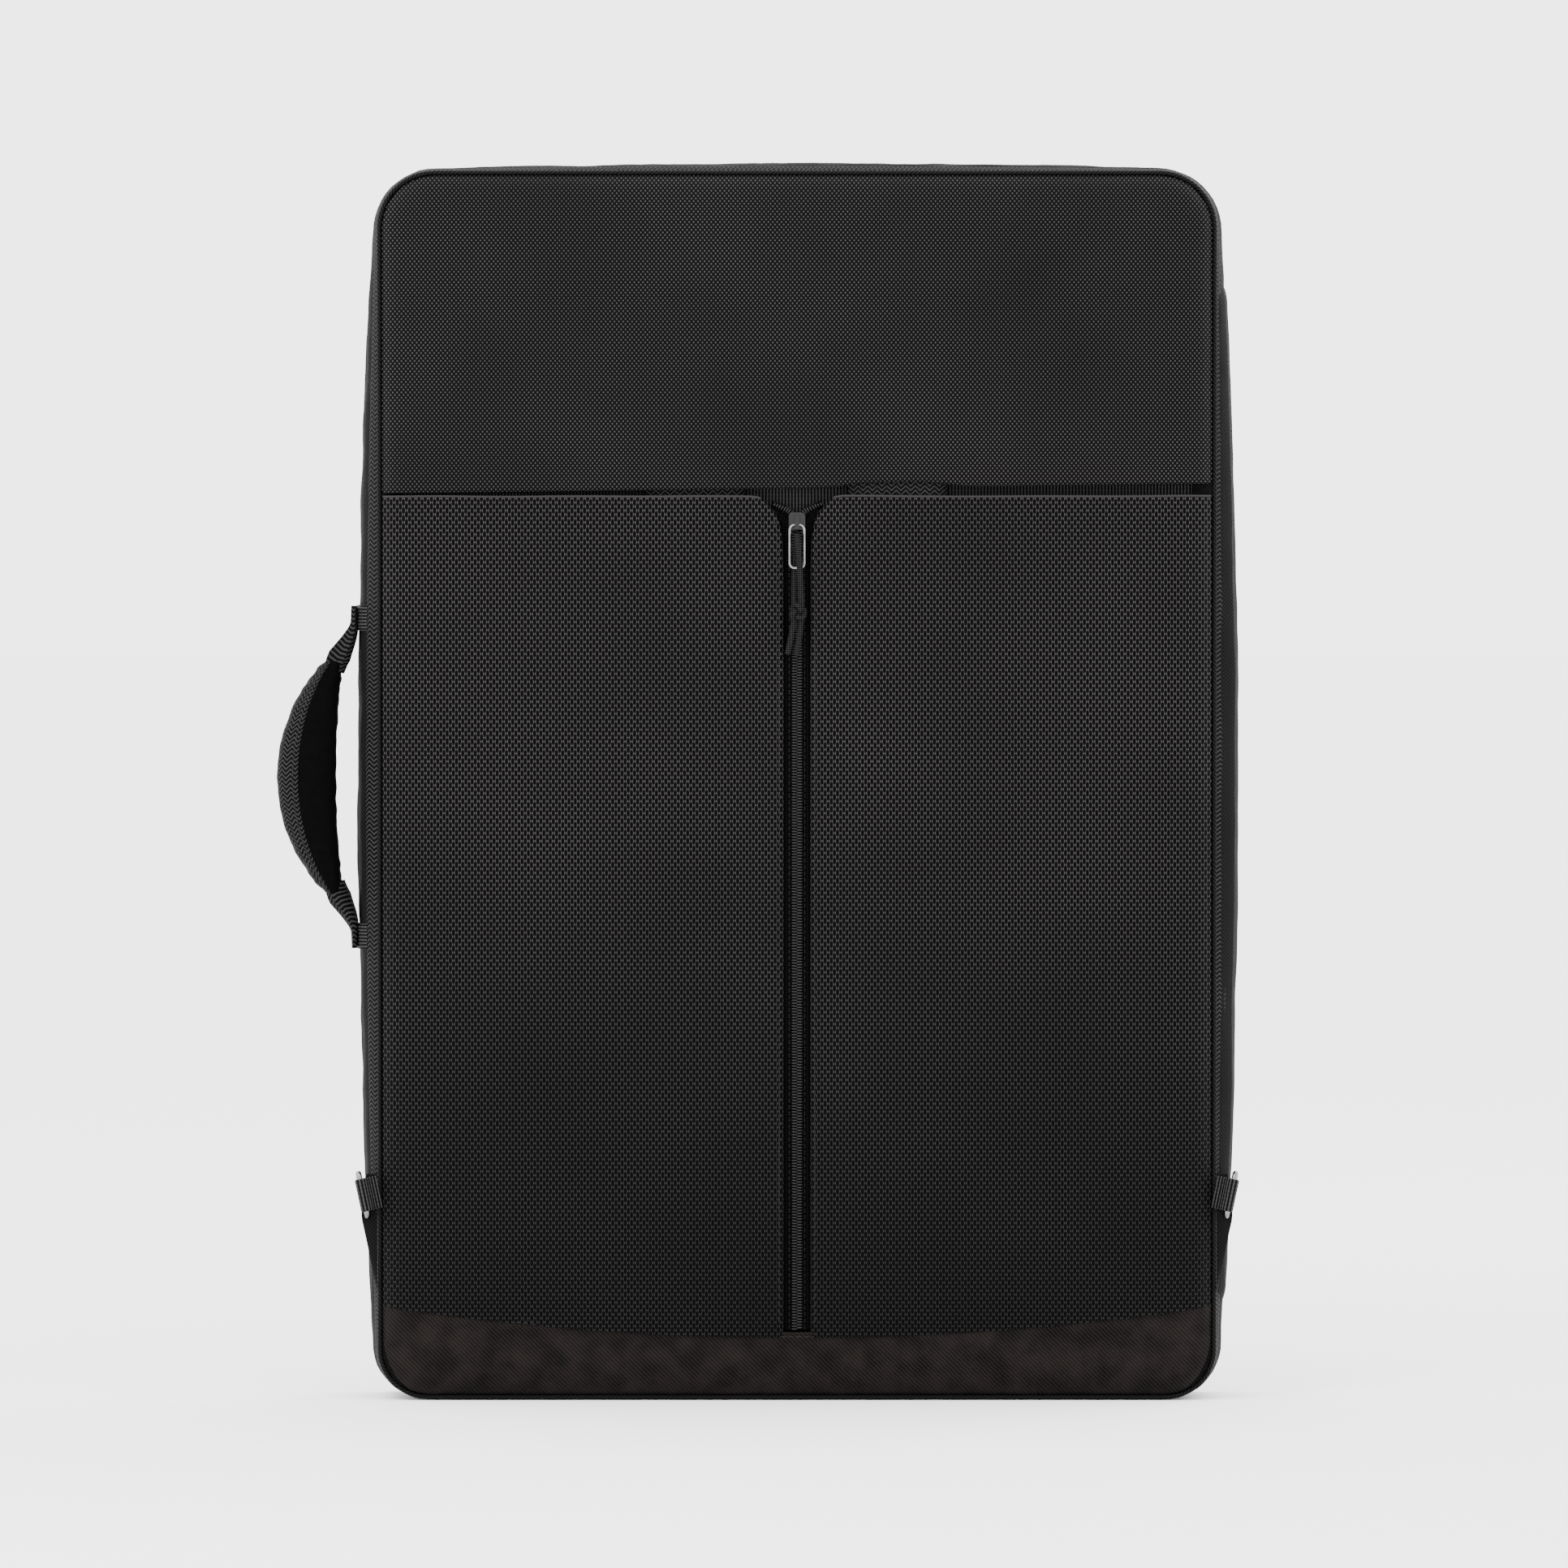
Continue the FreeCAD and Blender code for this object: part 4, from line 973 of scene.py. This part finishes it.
def wall_lining(name, body, edge_y, seam_y):
    """Lining of the wall, from the zip to the board."""
    ys = np.linspace(edge_y, seam_y, 9)
    rows = []
    for y in ys:
        loop = face_rim(GUSSET_PAD + 0.3)
        way = outward_of(loop)
        hold = min(1, abs(y - edge_y) / 5, abs(y - seam_y) / 5)
        wave = np.array([0.5 * soft(r, y * 2, 30, 41) - 0.4 for r in distances(loop)]) * hold
        rows.append(at_depth(loop + way * wave[:, None], y))
    pts = np.array(rows)
    flats = flat_grid(ys, distances(rows[0]))
    cloth(name, pts, flats, LINING, body, (), from_centre(pts, 0, -1))


def spine():
    """The spine's outer layer, one cloth across both halves and the hinge between them."""
    ys = np.concatenate([np.linspace(-28.5, 4, 12), np.linspace(6, 18, 11), np.linspace(20, 28.5, 5)])
    count = 170
    rows = []
    flats = []
    for y in ys:
        if y < 4.2:
            loop = section_rim(BACK_SECTIONS, y)
        elif y > 19.8:
            loop = section_rim(LID_SECTIONS, y)
        else:
            t = (y - 4.2) / 15.6
            loop = section_rim(BACK_SECTIONS, 4.2) * (1 - t) + section_rim(LID_SECTIONS, 19.8) * t
        keep = (loop[:, 0] > 0) & (loop[:, 1] > SPINE_BASE - 4) & (loop[:, 1] < SPINE_TOP + 4)
        side = loop[keep]
        zs = np.linspace(SPINE_TOP, SPINE_BASE, count)
        xs = np.interp(zs, side[::-1, 1], side[::-1, 0])
        ends = np.minimum(1, np.minimum(np.arange(count), np.arange(count)[::-1]) / 1.5)
        edge = min(1, (y + 28.5) / 1.5 + 0.15, (28.5 - y) / 1.5 + 0.15)
        hold = min(1.0, (y + 28.5) / 6, (28.5 - y) / 6) if not 5 < y < 19 else 0.25
        out = 0.15 + 1.0 * ends * edge
        wave = np.array([0.8 * soft(z, y * 1.5, 55, 51) + 0.35 * soft(z, y * 2, 17, 52) for z in zs])
        xs = xs + out + wave * max(hold, 0) * ends
        rows.append(np.stack([xs, np.full(count, y), zs], 1))
        flats.append(np.stack([np.full(count, y), zs], 1))
    made = cloth("spine_cloth", np.array(rows), flats, SHELL, None, (), (1, 0, 0))
    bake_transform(made)
    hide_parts("spine_back", "spine_lid")


def piping(name, body, y, node):
    """The corded edge all round one face."""
    path = at_depth(face_rim(), y)
    pts, flat = swept(path, round_section(PIPING / 2, 13), (0, 1, 0), (0, y, MIDDLE_Z), closed=True)
    run = np.linspace(0, 1, len(path))
    wave = np.array([0.12 * soft(r * 2200, 0, 9, 61) for r in run])
    pts = pts + (pts - path[:, None, :]) * wave[:, None, None]
    quads = grid_faces(*pts.shape[:2])
    away = pts.reshape(-1, 3)[quads].mean(1) - np.repeat(path[:-1], 12, 0)
    piece(name, pts, quads, flat, PIPED, body, [node], away)


def seam_binding(name, body, sections, y0, y1):
    """Herringbone tape sewn over the gusset's seam beside the piping."""
    rows = []
    ys = np.linspace(y0, y1, 6)
    for i, y in enumerate(ys):
        loop = section_rim(sections, y)
        way = outward_of(loop)
        rise = 0.75 if 0 < i < 5 else 0.15
        hold = np.clip((loop[:, 1] - 2.5) / 4, 0, 1)
        rows.append(at_depth(loop + way * (rise * hold + 0.05)[:, None], y))
    pts = np.array(rows)
    flats = flat_grid(ys, distances(rows[0]))
    cloth(name, pts, flats, BINDING, body, (), from_centre(pts, y0))


# ---- zips ---------------------------------------------------------------------------
def main_zip_path(inset):
    """The zip's line round the case, starting and ending at the spine."""
    loop = zip_rim(inset)[:-1]
    keep = ~((loop[:, 0] > 0) & (loop[:, 1] > SPINE_BASE) & (loop[:, 1] < SPINE_TOP))
    first = int(np.argmin(keep)) + int(np.argmax(keep[int(np.argmin(keep)):]))
    loop = np.roll(loop, -first, 0)
    keep = np.roll(keep, -first)
    return loop[keep]


def coil_tooth(at, along, across, out, reach, rise, wire=0.32):
    """One turn of the coil: up from the tape, over, and down at the middle."""
    bends = ((reach, 0.25), (reach * 0.96, rise * 0.72), (reach * 0.6, rise), (0.1, rise * 0.9),
             (-0.35, rise * 0.5))
    line = [at + across * s + out * r for s, r in bends]
    pts = []
    sides = 5
    for i, c in enumerate(line):
        before = line[max(i - 1, 0)]
        after = line[min(i + 1, len(line) - 1)]
        t = (after - before) / np.linalg.norm(after - before)
        v = np.cross(t, along)
        for k in range(sides):
            w = 2 * math.pi * k / sides
            pts.append(c + wire * 1.35 * (math.cos(w) * along * 1.25 + math.sin(w) * v))
    return pts, round_faces(len(line), sides)


def coil(name, path, across, out, reach, rise, body, node, pitch=TOOTH_PITCH, start=0.0):
    """A row of coil teeth along one tape's edge. across points from the middle to the tape."""
    pts, ways = along_line(path, pitch, start)
    shapes = []
    for p, w in zip(pts, ways):
        a = across(p, w) if callable(across) else np.asarray(across, float)
        o = out(p, w) if callable(out) else np.asarray(out, float)
        shapes.append(coil_tooth(p, w, a, o, reach, rise))
    return many(name, shapes, COIL, body, node)


def main_zip(prefix, body, edge_y, groove_y):
    toward = 1 if groove_y > edge_y else -1
    loop = main_zip_path(4.9)
    path = at_depth(loop, edge_y)
    way = outward_of(np.vstack([loop, loop[-1:]]))[:-1]
    rows = []
    ys = np.linspace(edge_y, groove_y, 7)
    for i, y in enumerate(ys):
        sag = 0.25 * math.sin(math.pi * i / 6)
        row = path.copy()
        row[:, 1] = y
        row[:, 0] -= way[:, 0] * sag
        row[:, 2] -= way[:, 1] * sag
        rows.append(row)
    pts = np.array(rows)
    flats = flat_grid(ys, distances(loop))
    cloth(prefix + "_tape_weave", pts, flats, TAPE, body, [prefix + "_zip_tape"],
          from_centre(pts, edge_y))

    def outwards(p, w):
        o = np.array([w[2], 0, -w[0]])
        return o if o @ (p - np.array([0, p[1], MIDDLE_Z])) > 0 else -o

    teeth_path = path + np.array([0, toward * 0.1, 0])
    coil(prefix + "_teeth", teeth_path, (0, toward, 0), outwards, 2.7, 2.3, body,
         [prefix + "_zip_coil"], pitch=2.0, start=0.3 if toward > 0 else 1.3)
    seam = path + np.array([0, toward * 3.7, 0])
    seam[:, 0] += way[:, 0] * 0.1
    seam[:, 2] += way[:, 1] * 0.1
    many(prefix + "_tape_stitches", stitch_row(seam), STITCH, body)


def centre_line(side):
    """One half of the centre chain: straight up, then curling away from the middle."""
    path = [(side * 0.15, TAPE_Y, z) for z in np.linspace(37.8, 461, 120)]
    for angle in np.radians(np.linspace(6, 72, 9)):
        path.append((side * (0.15 + 8.5 * (1 - math.cos(angle))), TAPE_Y + 1.2 * math.sin(angle),
                     461 + 8.5 * math.sin(angle)))
    x, y, z = path[-1]
    path += [(x + side * 3.0, y + 0.6, z + 1.6), (x + side * 6.5, y + 1.6, z + 2.6)]
    return np.array(path)


def centre_zip():
    for side, word in ((-1, "left"), (1, "right")):
        path = centre_line(side)
        way = tangents(path)
        outer = np.array([side, 0, 0]) - way * (way[:, :1] * side)
        outer /= np.linalg.norm(outer, axis=1)[:, None]
        rows = []
        flats = []
        for w in (0, 2.0, 3.6, 5.5, 8, 11, 14):
            row = path + outer * min(w, 13.0)
            row[:, 1] += 0.35 * math.sin(w / 14 * math.pi) + 0.05 * w
            rows.append(row)
            flats.append(np.stack([np.full(len(path), w), path[:, 2]], 1))
        cloth("centre_tape_" + word, np.array(rows), flats, TAPE, "back_shell",
              ["flap_tape_" + word])

        def sideways(p, w, side=side):
            a = np.array([side, 0, 0]) - w * (w[0] * side)
            return a / np.linalg.norm(a)

        coil("centre_teeth_" + word, path, sideways, (0, -1, 0), 2.9, 2.25, "back_shell",
             ["flap_coil"], start=0.2 if side < 0 else 0.95)
        seam = path[:118] + np.array([side * 3.9, -0.05, 0])
        many("centre_tape_stitches_" + word, stitch_row(seam, long=2.4, gap=1.0), STITCH,
             "back_shell")


gusset("back_gusset_cloth", "back_shell", BACK_SECTIONS, BACK_Y, 11.7,
       ["gusset_left", "gusset_top", "gusset_base"])
gusset("lid_gusset_cloth", "lid", LID_SECTIONS, FRONT_Y, 12.3,
       ["lid_gusset_left", "lid_gusset_top", "lid_gusset_base"])
wall_lining("back_wall_lining", "back_shell", 11.4, -26.0)
wall_lining("lid_wall_lining", "lid", 12.6, 26.0)
spine()
piping("back_piping_cord", "back_shell", -31.1, "back_piping")
piping("lid_piping_cord", "lid", 31.1, "lid_piping")
seam_binding("back_seam_binding", "back_shell", BACK_SECTIONS, -29.6, -22.5)
seam_binding("lid_seam_binding", "lid", LID_SECTIONS, 29.6, 24.5)
main_zip("back", "back_shell", 11.7, 4.4)
main_zip("lid", "lid", 12.3, 19.6)
centre_zip()


# ---- inside the stow pocket ---------------------------------------------------------
def soft_bar(wide, thick, count=4):
    """Section of webbing or a strap: flat with rounded edges."""
    r = thick / 2 - 1e-3
    points = []
    for start, sx in ((-90, 1), (90, -1)):
        for i in range(count + 1):
            w = math.radians(start + 180 * i / count)
            points.append((sx * (wide / 2 - r) + r * math.cos(w), r * math.sin(w)))
    return points


def webbing(name, path, across, node):
    """A strap of the 25 mm webbing, fixed to the back shell."""
    sweep_piece(name, path, soft_bar(25, 1.5), across, WEBBING, "back_shell", [node])


def crossing_web():
    xs = np.linspace(-207, 207, 90)
    path = [(x, -32.5 - 0.25 * soft(x, 0, 40, 71), 474 + 0.6 * soft(x, 9, 90, 72)) for x in xs]
    webbing("cross_web", path, (0, 0, 1), "cross_webbing")


def stowed_strap(side, word):
    """A padded shoulder strap folded into the pocket, with its edges bound."""
    x = side * 53.0
    zs = np.linspace(499, 190, 70)
    path = [(x + 0.8 * soft(0, z, 120, 73 + side), -36.1 + 0.3 * soft(0, z, 70, 75 + side), z)
            for z in zs]
    section = []
    for i in range(28):
        w = 2 * math.pi * i / 28
        c, s = math.cos(w), math.sin(w)
        section.append((25.0 * math.copysign(abs(c) ** 0.35, c), 2.6 * math.copysign(abs(s) ** 0.7, s)))
    ends = np.clip(np.minimum(zs - 188, 501 - zs) / 3, 0.55, 1)
    strap = sweep_piece("strap_pad_" + word, path, section, (1, 0, 0), MESH, "back_shell",
                        ["shoulder_strap_" + word], scale=ends)
    for edge in (-1, 1):
        line = [(p[0] + edge * 24.2, p[1], p[2]) for p in path]
        sweep_piece("strap_binding_" + word + ("_in" if edge * side < 0 else "_out"), line,
                    soft_bar(3.4, 3.2), (1, 0, 0), BINDING, "back_shell")
    # the strap's covered upper end shows in the mouth of the pocket
    us = np.linspace(-1, 1, 36)
    vs = np.linspace(0, 1, 20)
    pts = []
    flats = []
    for v in vs:
        z = 466 + 32 * v
        for u in us:
            lean = -0.4 if side < 0 else 1.2
            z_here = z + lean * u
            bulge = (1 - abs(u) ** 6) * (1 - (2 * v - 1) ** 8)
            pts.append((x - 1 + u * 25.3, -38.0 - 1.9 * bulge - 0.3 * soft(u * 25, z, 12, 76), z_here))
            flats.append((u * 25.3, z_here))
    piece("strap_end_" + word, pts, grid_faces(20, 36), flats, BINDING, "back_shell", (),
          (0, -1, 0))
    tail = [(x, -40.0 + 0.3 * math.sin(z / 9), z) for z in np.linspace(164, 83.5, 40)]
    webbing("tail_web_" + word, tail, (1, 0, 0), "tail_webbing_" + word)


# ---- flat cloths and linings --------------------------------------------------------
def face_sheet(name, y, inset, facing, material, body, node, relief, seed):
    """A cloth over the whole face, following its rounded outline."""
    us = steps(2 * HALF, 2, 6) / (2 * HALF)
    vs = steps(FACE_TOP, 2, 6) / FACE_TOP

    def height(x, z):
        hold = min(1, max(0, inset_of(x, z, inset)) / 10)
        return y + facing * relief * hold * (soft(x, z, 110, seed) + 0.4 * soft(x, z, 30, seed + 1))

    pts, flats = pad_points(lambda z: (-side_at(z, inset), side_at(z, inset)),
                            lambda x: (FACE_BASE + inset, FACE_TOP - inset), us, vs, height)
    cloth(name, pts, flats, material, body, [node], (0, facing, 0))


def linings():
    face_sheet("back_face_cloth", -31.2, 1.4, -1, SHELL, "back_shell", "back_cover", 0.1, 81)
    face_sheet("lid_face_cloth", 31.2, 1.4, 1, SHELL, "lid", "lid_cover", 0.1, 83)
    face_sheet("back_lining_cloth", -26.1, 6.2, 1, LINING, "back_shell", "back_lining", 0.7, 85)
    face_sheet("lid_lining_cloth", 26.1, 6.2, -1, LINING, "lid", "lid_lining", 0.7, 87)
    for word, body, y, way in (("back", "back_shell", -25.7, 1), ("lid", "lid", 25.7, -1)):
        section = [(0, -4), (0.5 * way, -3.6), (0.7 * way, 0), (0.5 * way, 3.6), (0, 4)]
        pts, flat = swept(at_depth(face_rim(9.5), y), section, (0, 1, 0), (0, y, MIDDLE_Z))
        cloth(word + "_lining_binding", pts, flat, BINDING, body, (), (0, way, 0))


# ---- document pocket on the lid -----------------------------------------------------
def front_height(x, z):
    slack = 0.6 * soft(x, z, 150, 91) + 0.3 * soft(x, z, 50, 92)
    share = pad_share(x, z)
    return FRONT_FLOOR + FRONT_CROWN * share + slack * min(1, share * 1.2)


def zip_gap(x):
    return 0.3 + 4.0 * min(1, max(0, (174 - abs(x)) / 5))


def document_pocket():
    us = steps(2 * HALF, 0.9, 4.0) / (2 * HALF)
    low = FACE_BASE + 1.4
    high = FACE_TOP - 1.4

    def sides(z):
        return -side_at(z, 1.4), side_at(z, 1.4)

    vs = steps(512, 0.9, 4.0) / 512
    pts, flats = pad_points(sides, lambda x: (low, POCKET_ZIP - zip_gap(x) - 0.8), us, vs, front_height)
    pts, flats = fold_side(pts, flats, 0, True, 0.8, math.pi / 2, 0.6)
    pts[-9:, :, 1] = 2 * pts[-10:-9, :, 1] - pts[-9:, :, 1]
    panel = cloth("pocket_panel_cloth", pts, flats, SHELL, "lid", ["pocket_panel"],
                  (0, 1, 0))
    vs = steps(118, 0.9, 4.0) / 118
    pts, flats = pad_points(sides, lambda x: (POCKET_ZIP + zip_gap(x) + 0.8, high), us, vs, front_height)
    pts, flats = fold_side(pts, flats, 0, False, 0.8, math.pi / 2, 0.6)
    pts[:9, :, 1] = 2 * pts[9:10, :, 1] - pts[:9, :, 1]
    yoke_pad = cloth("pocket_yoke_cloth", pts, flats, BALLISTIC, "lid", ["pocket_yoke"],
                     (0, 1, 0))

    xs = np.linspace(-171, 171, 90)
    zs = np.linspace(507.5, 532.5, 15)
    pts = [(x, 36.0 + 0.1 * soft(x, z, 20, 93), z) for z in zs for x in xs]
    flats = [(z, x) for z in zs for x in xs]
    piece("pocket_tape_weave", pts, grid_faces(15, 90), flats, TAPE, "lid", ["pocket_tape"],
          (0, 1, 0))
    path = np.array([(x, 36.1, POCKET_ZIP) for x in np.linspace(-167, 167, 60)])
    for side, word in ((-1, "lower"), (1, "upper")):
        coil("pocket_teeth_" + word, path + np.array([0, 0, side * 0.15]), (0, 0, side), (0, 1, 0), 2.9,
             2.25, "lid", ["pocket_coil"], start=0.2 if side < 0 else 0.95)
        z = POCKET_ZIP + side * 7.5
        row = [(x, front_height(x, z) + 0.15, z) for x in range(-176, 177, 4)]
        many("pocket_edge_stitches_" + word, stitch_row(row), STITCH, "lid")


# ---- carry handle -------------------------------------------------------------------
GRIP_ROOT = -237.5
GRIP_MID_Z = 327.0
GRIP_LONG = 61.5            # half length of the grip
GRIP_Y = -9.0


def grip_sides(z):
    """Outer and inner edge of the grip at a height."""
    d = z - GRIP_MID_Z
    outer = math.sqrt(86.06 ** 2 - d ** 2) - 50.06
    inner = math.sqrt(546.7 ** 2 - d ** 2) - 542.2
    return GRIP_ROOT - outer, GRIP_ROOT - inner


def grip_ring(z, grow, angles, seed=95):
    out, inn = grip_sides(z)
    mid = (out + inn) / 2
    half = (inn - out) / 2
    to_end = GRIP_LONG - abs(z - GRIP_MID_Z)
    shut = math.sqrt(min(1, max(0.0, to_end + 0.6) / 5.0)) * 0.45 + 0.55
    points = []
    for w in angles:
        c, s = math.cos(w), math.sin(w)
        crumple = math.exp(-to_end / 13)
        wave = 0.55 * soft(20 * c, z * 1.3, 9, seed) + 0.9 * crumple * soft(9 * s, z * 1.8, 6, seed + 1)
        wave += 0.35 * crumple * math.sin(z * 1.1 + 3 * s)
        radius = grow + wave
        x = mid + (half + radius - 0.5) * math.copysign(abs(c) ** 0.8, c)
        y = GRIP_Y + (11.4 * shut + radius) * math.copysign(abs(s) ** 0.62, s)
        points.append((x, y, z))
    return points


def grip():
    """Foam grip wrapped in microfibre, crumpled where it is gathered at its ends."""
    zs = np.linspace(-GRIP_LONG, GRIP_LONG, 110) + GRIP_MID_Z
    angles = np.linspace(0, 2 * math.pi, 49)
    pts = np.array([grip_ring(z, 0.0, angles) for z in zs])
    flat = flat_grid(zs, np.linspace(0, 80, 49))[:, :, ::-1].reshape(-1, 2)
    faces = grid_faces(*pts.shape[:2]).tolist()
    points = pts.reshape(-1, 3)
    for row, turned in ((0, False), (109, True)):
        ring = [row * 49 + k for k in range(49)]
        points, flat = closed_end(points, flat, faces, ring, turned, ring)
    made = piece("grip_pad", points, faces, flat, GRIP, "handle", ["handle_grip"])
    # ribbed webbing folded over the outer edge
    angles = np.linspace(math.pi - 1.36, math.pi + 1.36, 33)
    zs = np.linspace(-GRIP_LONG + 0.5, GRIP_LONG - 0.5, 110) + GRIP_MID_Z
    rows = []
    for z in zs:
        ring = np.array(grip_ring(z, 0.75, angles))
        under = np.array(grip_ring(z, -0.2, angles))
        ring[0], ring[-1] = under[0], under[-1]
        rows.append(ring)
    pts = np.array(rows)
    flats = flat_grid(zs, distances(pts[55]))[:, :, ::-1]
    cloth("grip_rim_webbing", pts, flats, BINDING, "handle", (), (-1, 0, 0))
    shapes = []
    for w in (angles[2], angles[-3]):
        shapes += stitch_row([grip_ring(z, 0.85, [w])[0] for z in zs[3:-3]])
    many("grip_stitches", shapes, STITCH, "handle")


def handle_end(up, word):
    """Webbing from the patch into the grip."""
    z = [GRIP_MID_Z + up * d for d in (90.0, 81, 77, 71.5, 66, 61.5, 56)]
    x = (-232.9, -233.0, -233.7, -236.2, -239.3, -241.8, -243.6)
    line = np.array([(a, GRIP_Y, b) for a, b in zip(x, z)])
    fine = np.linspace(0, 6, 40)
    path = np.stack([np.interp(fine, range(7), line[:, k]) for k in range(3)], 1)
    for _ in range(6):
        path[1:-1] = (path[:-2] + 2 * path[1:-1] + path[2:]) / 4
    sides = [(way * s, way + 0.35 * math.cos(way * s * 0.9))
             for way in (1, -1) for s in np.linspace(-10.2, 10.2, 15)]
    # folded double where it goes into the grip, so it narrows and thickens
    along = np.linspace(0, 1, 40)
    folded = np.stack([np.interp(along, (0, 0.25, 0.7, 1), (1, 1, 0.9, 0.8)),
                       np.interp(along, (0, 0.18, 0.4, 0.75, 1), (1, 1.2, 2.4, 4.4, 4.0))], 1)
    made = sweep_piece("handle_end_" + word, path, sides, (0, 1, 0), BINDING, None, (),
                       scale=folded)
    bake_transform(made)
    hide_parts("handle_webbing")


def handle_patch(up, word):
    """Box-stitched anchor patch on the gusset."""
    z0 = GRIP_MID_Z + up * 77
    zs = np.linspace(0, 13.5, 12)
    ys = np.linspace(-23, 5, 24)

    def spot(y, dz, lift):
        z = z0 + up * dz
        spread, bow = between_sections(BACK_SECTIONS, min(y, 4.2))[:2]
        level = (z - FACE_BASE - CORNER_BASE) / (FACE_TOP - CORNER_TOP - FACE_BASE - CORNER_BASE) * 2 - 1
        edge = min(1, min(dz, 13.5 - dz) / 1.0, min(y + 23, 5 - y) / 1.0)
        x = -(HALF + spread + bow * (1 - level ** 2)) - 0.7 - 0.9 * math.sqrt(max(edge, 0)) - lift
        return (x, y, z)

    pts = [spot(y, dz, 0) for dz in zs for y in ys]
    flats = [(y, dz) for dz in zs for y in ys]
    piece("handle_patch_" + word, pts, grid_faces(12, 24), flats, WEBBING, "back_shell",
          ["handle_patches"], (-1, 0, 0))
    corners = [(-21, 1.8), (3, 1.8), (3, 11.7), (-21, 11.7)]
    lines = list(zip(corners, corners[1:] + corners[:1]))
    lines += [(corners[0], corners[2]), (corners[1], corners[3])]
    shapes = []
    for (ya, za), (yb, zb) in lines:
        path = [spot(ya + (yb - ya) * t, za + (zb - za) * t, 0.12) for t in np.linspace(0, 1, 12)]
        shapes += stitch_row(path, long=2.4, gap=0.8)
    many("handle_patch_stitches_" + word, shapes, STITCH, "back_shell")


# ---- D-ring tabs and wings ----------------------------------------------------------
RING_SEAM = np.array([220.8, -33.2])
RING_BAR = np.array([227.5, -36.6, 108.0])
RING_TILT = math.radians(12)


def ring_place(points, side):
    """From the bar's own frame (bar on Z, seam toward -X) to the case's frame."""
    way = RING_BAR[:2] - RING_SEAM
    angle = math.atan2(way[1], way[0])
    c, s = math.cos(RING_TILT), math.sin(RING_TILT)
    out = []
    for x, y, z in points:
        x, y = x * math.cos(angle) - y * math.sin(angle), x * math.sin(angle) + y * math.cos(angle)
        x, z = x * c + z * s, -x * s + z * c
        out.append((side * (x + RING_BAR[0]), y + RING_BAR[1], z + RING_BAR[2]))
    return out


def ring_tab(side, word):
    """Webbing round the ring's bar, both ends caught in the piping's seam."""
    reach = 7.5
    line = [(-reach - 1.5, 0.55), (-6, 0.55), (-4.2, 0.75), (-2.9, 1.5)]
    line += [(2.35 * math.cos(w), 2.35 * math.sin(w)) for w in np.radians(np.linspace(120, -120, 15))]
    line += [(-2.9, -1.5), (-4.2, -0.75), (-6, -0.55), (-reach - 1.5, -0.55)]
    bar = soft_bar(17.2, 1.0)
    pts, flat = swept([(x, y, 0) for x, y in line], bar + bar[:1], (0, 0, 1))
    shape = pts.shape[:2]
    points = np.array(ring_place(pts.reshape(-1, 3), side)).reshape(*shape, 3)
    quads = grid_faces(*shape)
    ring_middle = points.mean(1)[:, None, :].repeat(shape[1], 1).reshape(-1, 3)
    away = points.reshape(-1, 3)[quads].mean(1) - ring_middle[quads].mean(1)
    piece("ring_tab_web_" + word, points, quads, flat, WEBBING, "back_shell",
          ["ring_tab_" + word], away)
    rows = [ring_place([(-5.4, y, z) for z in np.linspace(-7.6, 7.6, 6)], side) for y in (-1.15, 1.15)]
    many("ring_tab_stitches_" + word, [s for row in rows for s in stitch_row(row, long=2.2, gap=0.9)],
         STITCH, "back_shell")


def ring_wing(side, word):
    """Triangle of shell fabric that spreads the ring's pull down the seam."""
    pts = []
    flats = []
    for v in np.linspace(0, 1, 26):
        z = 58 + 61 * v
        wide = 7.6 * min(1.0, v / 0.62) ** 1.1 * (1 - 0.35 * max(0, (v - 0.8) / 0.2))
        for u in np.linspace(0, 1, 9):
            bulge = 0.9 * math.sin(math.pi * u) * (0.4 + 0.6 * v)
            pucker = 0.25 * soft(u * 20, z, 7, 97)
            x = 220.4 + u * (wide + 0.6)
            y = -32.6 - 0.38 * u * wide - bulge - pucker + 2.2 * u
            pts.append((side * x, y, z))
            flats.append((x, z))
    piece("ring_wing_cloth_" + word, pts, grid_faces(26, 9), flats, SHELL, "back_shell",
          ["ring_wing_" + word], (0, -1, 0))


# ---- stitching that shows on the back -----------------------------------------------
def panel_stitches():
    shapes = []
    for side in (-1, 1):
        row = [(side * (flap_edge(z) + 2.4), flap_height(side * (flap_edge(z) + 2.4), z) - 0.15, z)
               for z in range(42, 466, 4)]
        shapes += stitch_row(row)
    row = [(x, kick_height(x, kick_line(x) - 2.4) - 0.1, kick_line(x) - 2.4) for x in range(-212, 213, 4)]
    shapes += stitch_row(row)
    many("panel_stitches", shapes, STITCH, "back_shell")


def kept_parts():
    """Hard parts that are shown as they are built, with their own finish."""
    finishes = {NICKEL: ("flap_pull", "zip_pull_left", "zip_pull_right", "pocket_pull", "d_ring_left",
                         "d_ring_right"),
                LACQUER: ("flap_slider", "zip_slider_left", "zip_slider_right", "pocket_slider"),
                ACETAL: ("ladder_lock_left", "ladder_lock_right", "snap_hook_left", "snap_hook_right"),
                BOARD: ("back_board", "lid_board")}
    for finish, names in finishes.items():
        for name in names:
            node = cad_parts[name]
            node.data.materials.clear()
            node.data.materials.append(finish)


crossing_web()
for side, word in ((-1, "left"), (1, "right")):
    stowed_strap(side, word)
    ring_tab(side, word)
    ring_wing(side, word)
linings()
document_pocket()
grip()
for up, word in ((-1, "lower"), (1, "upper")):
    handle_end(up, word)
    handle_patch(up, word)
panel_stitches()
kept_parts()
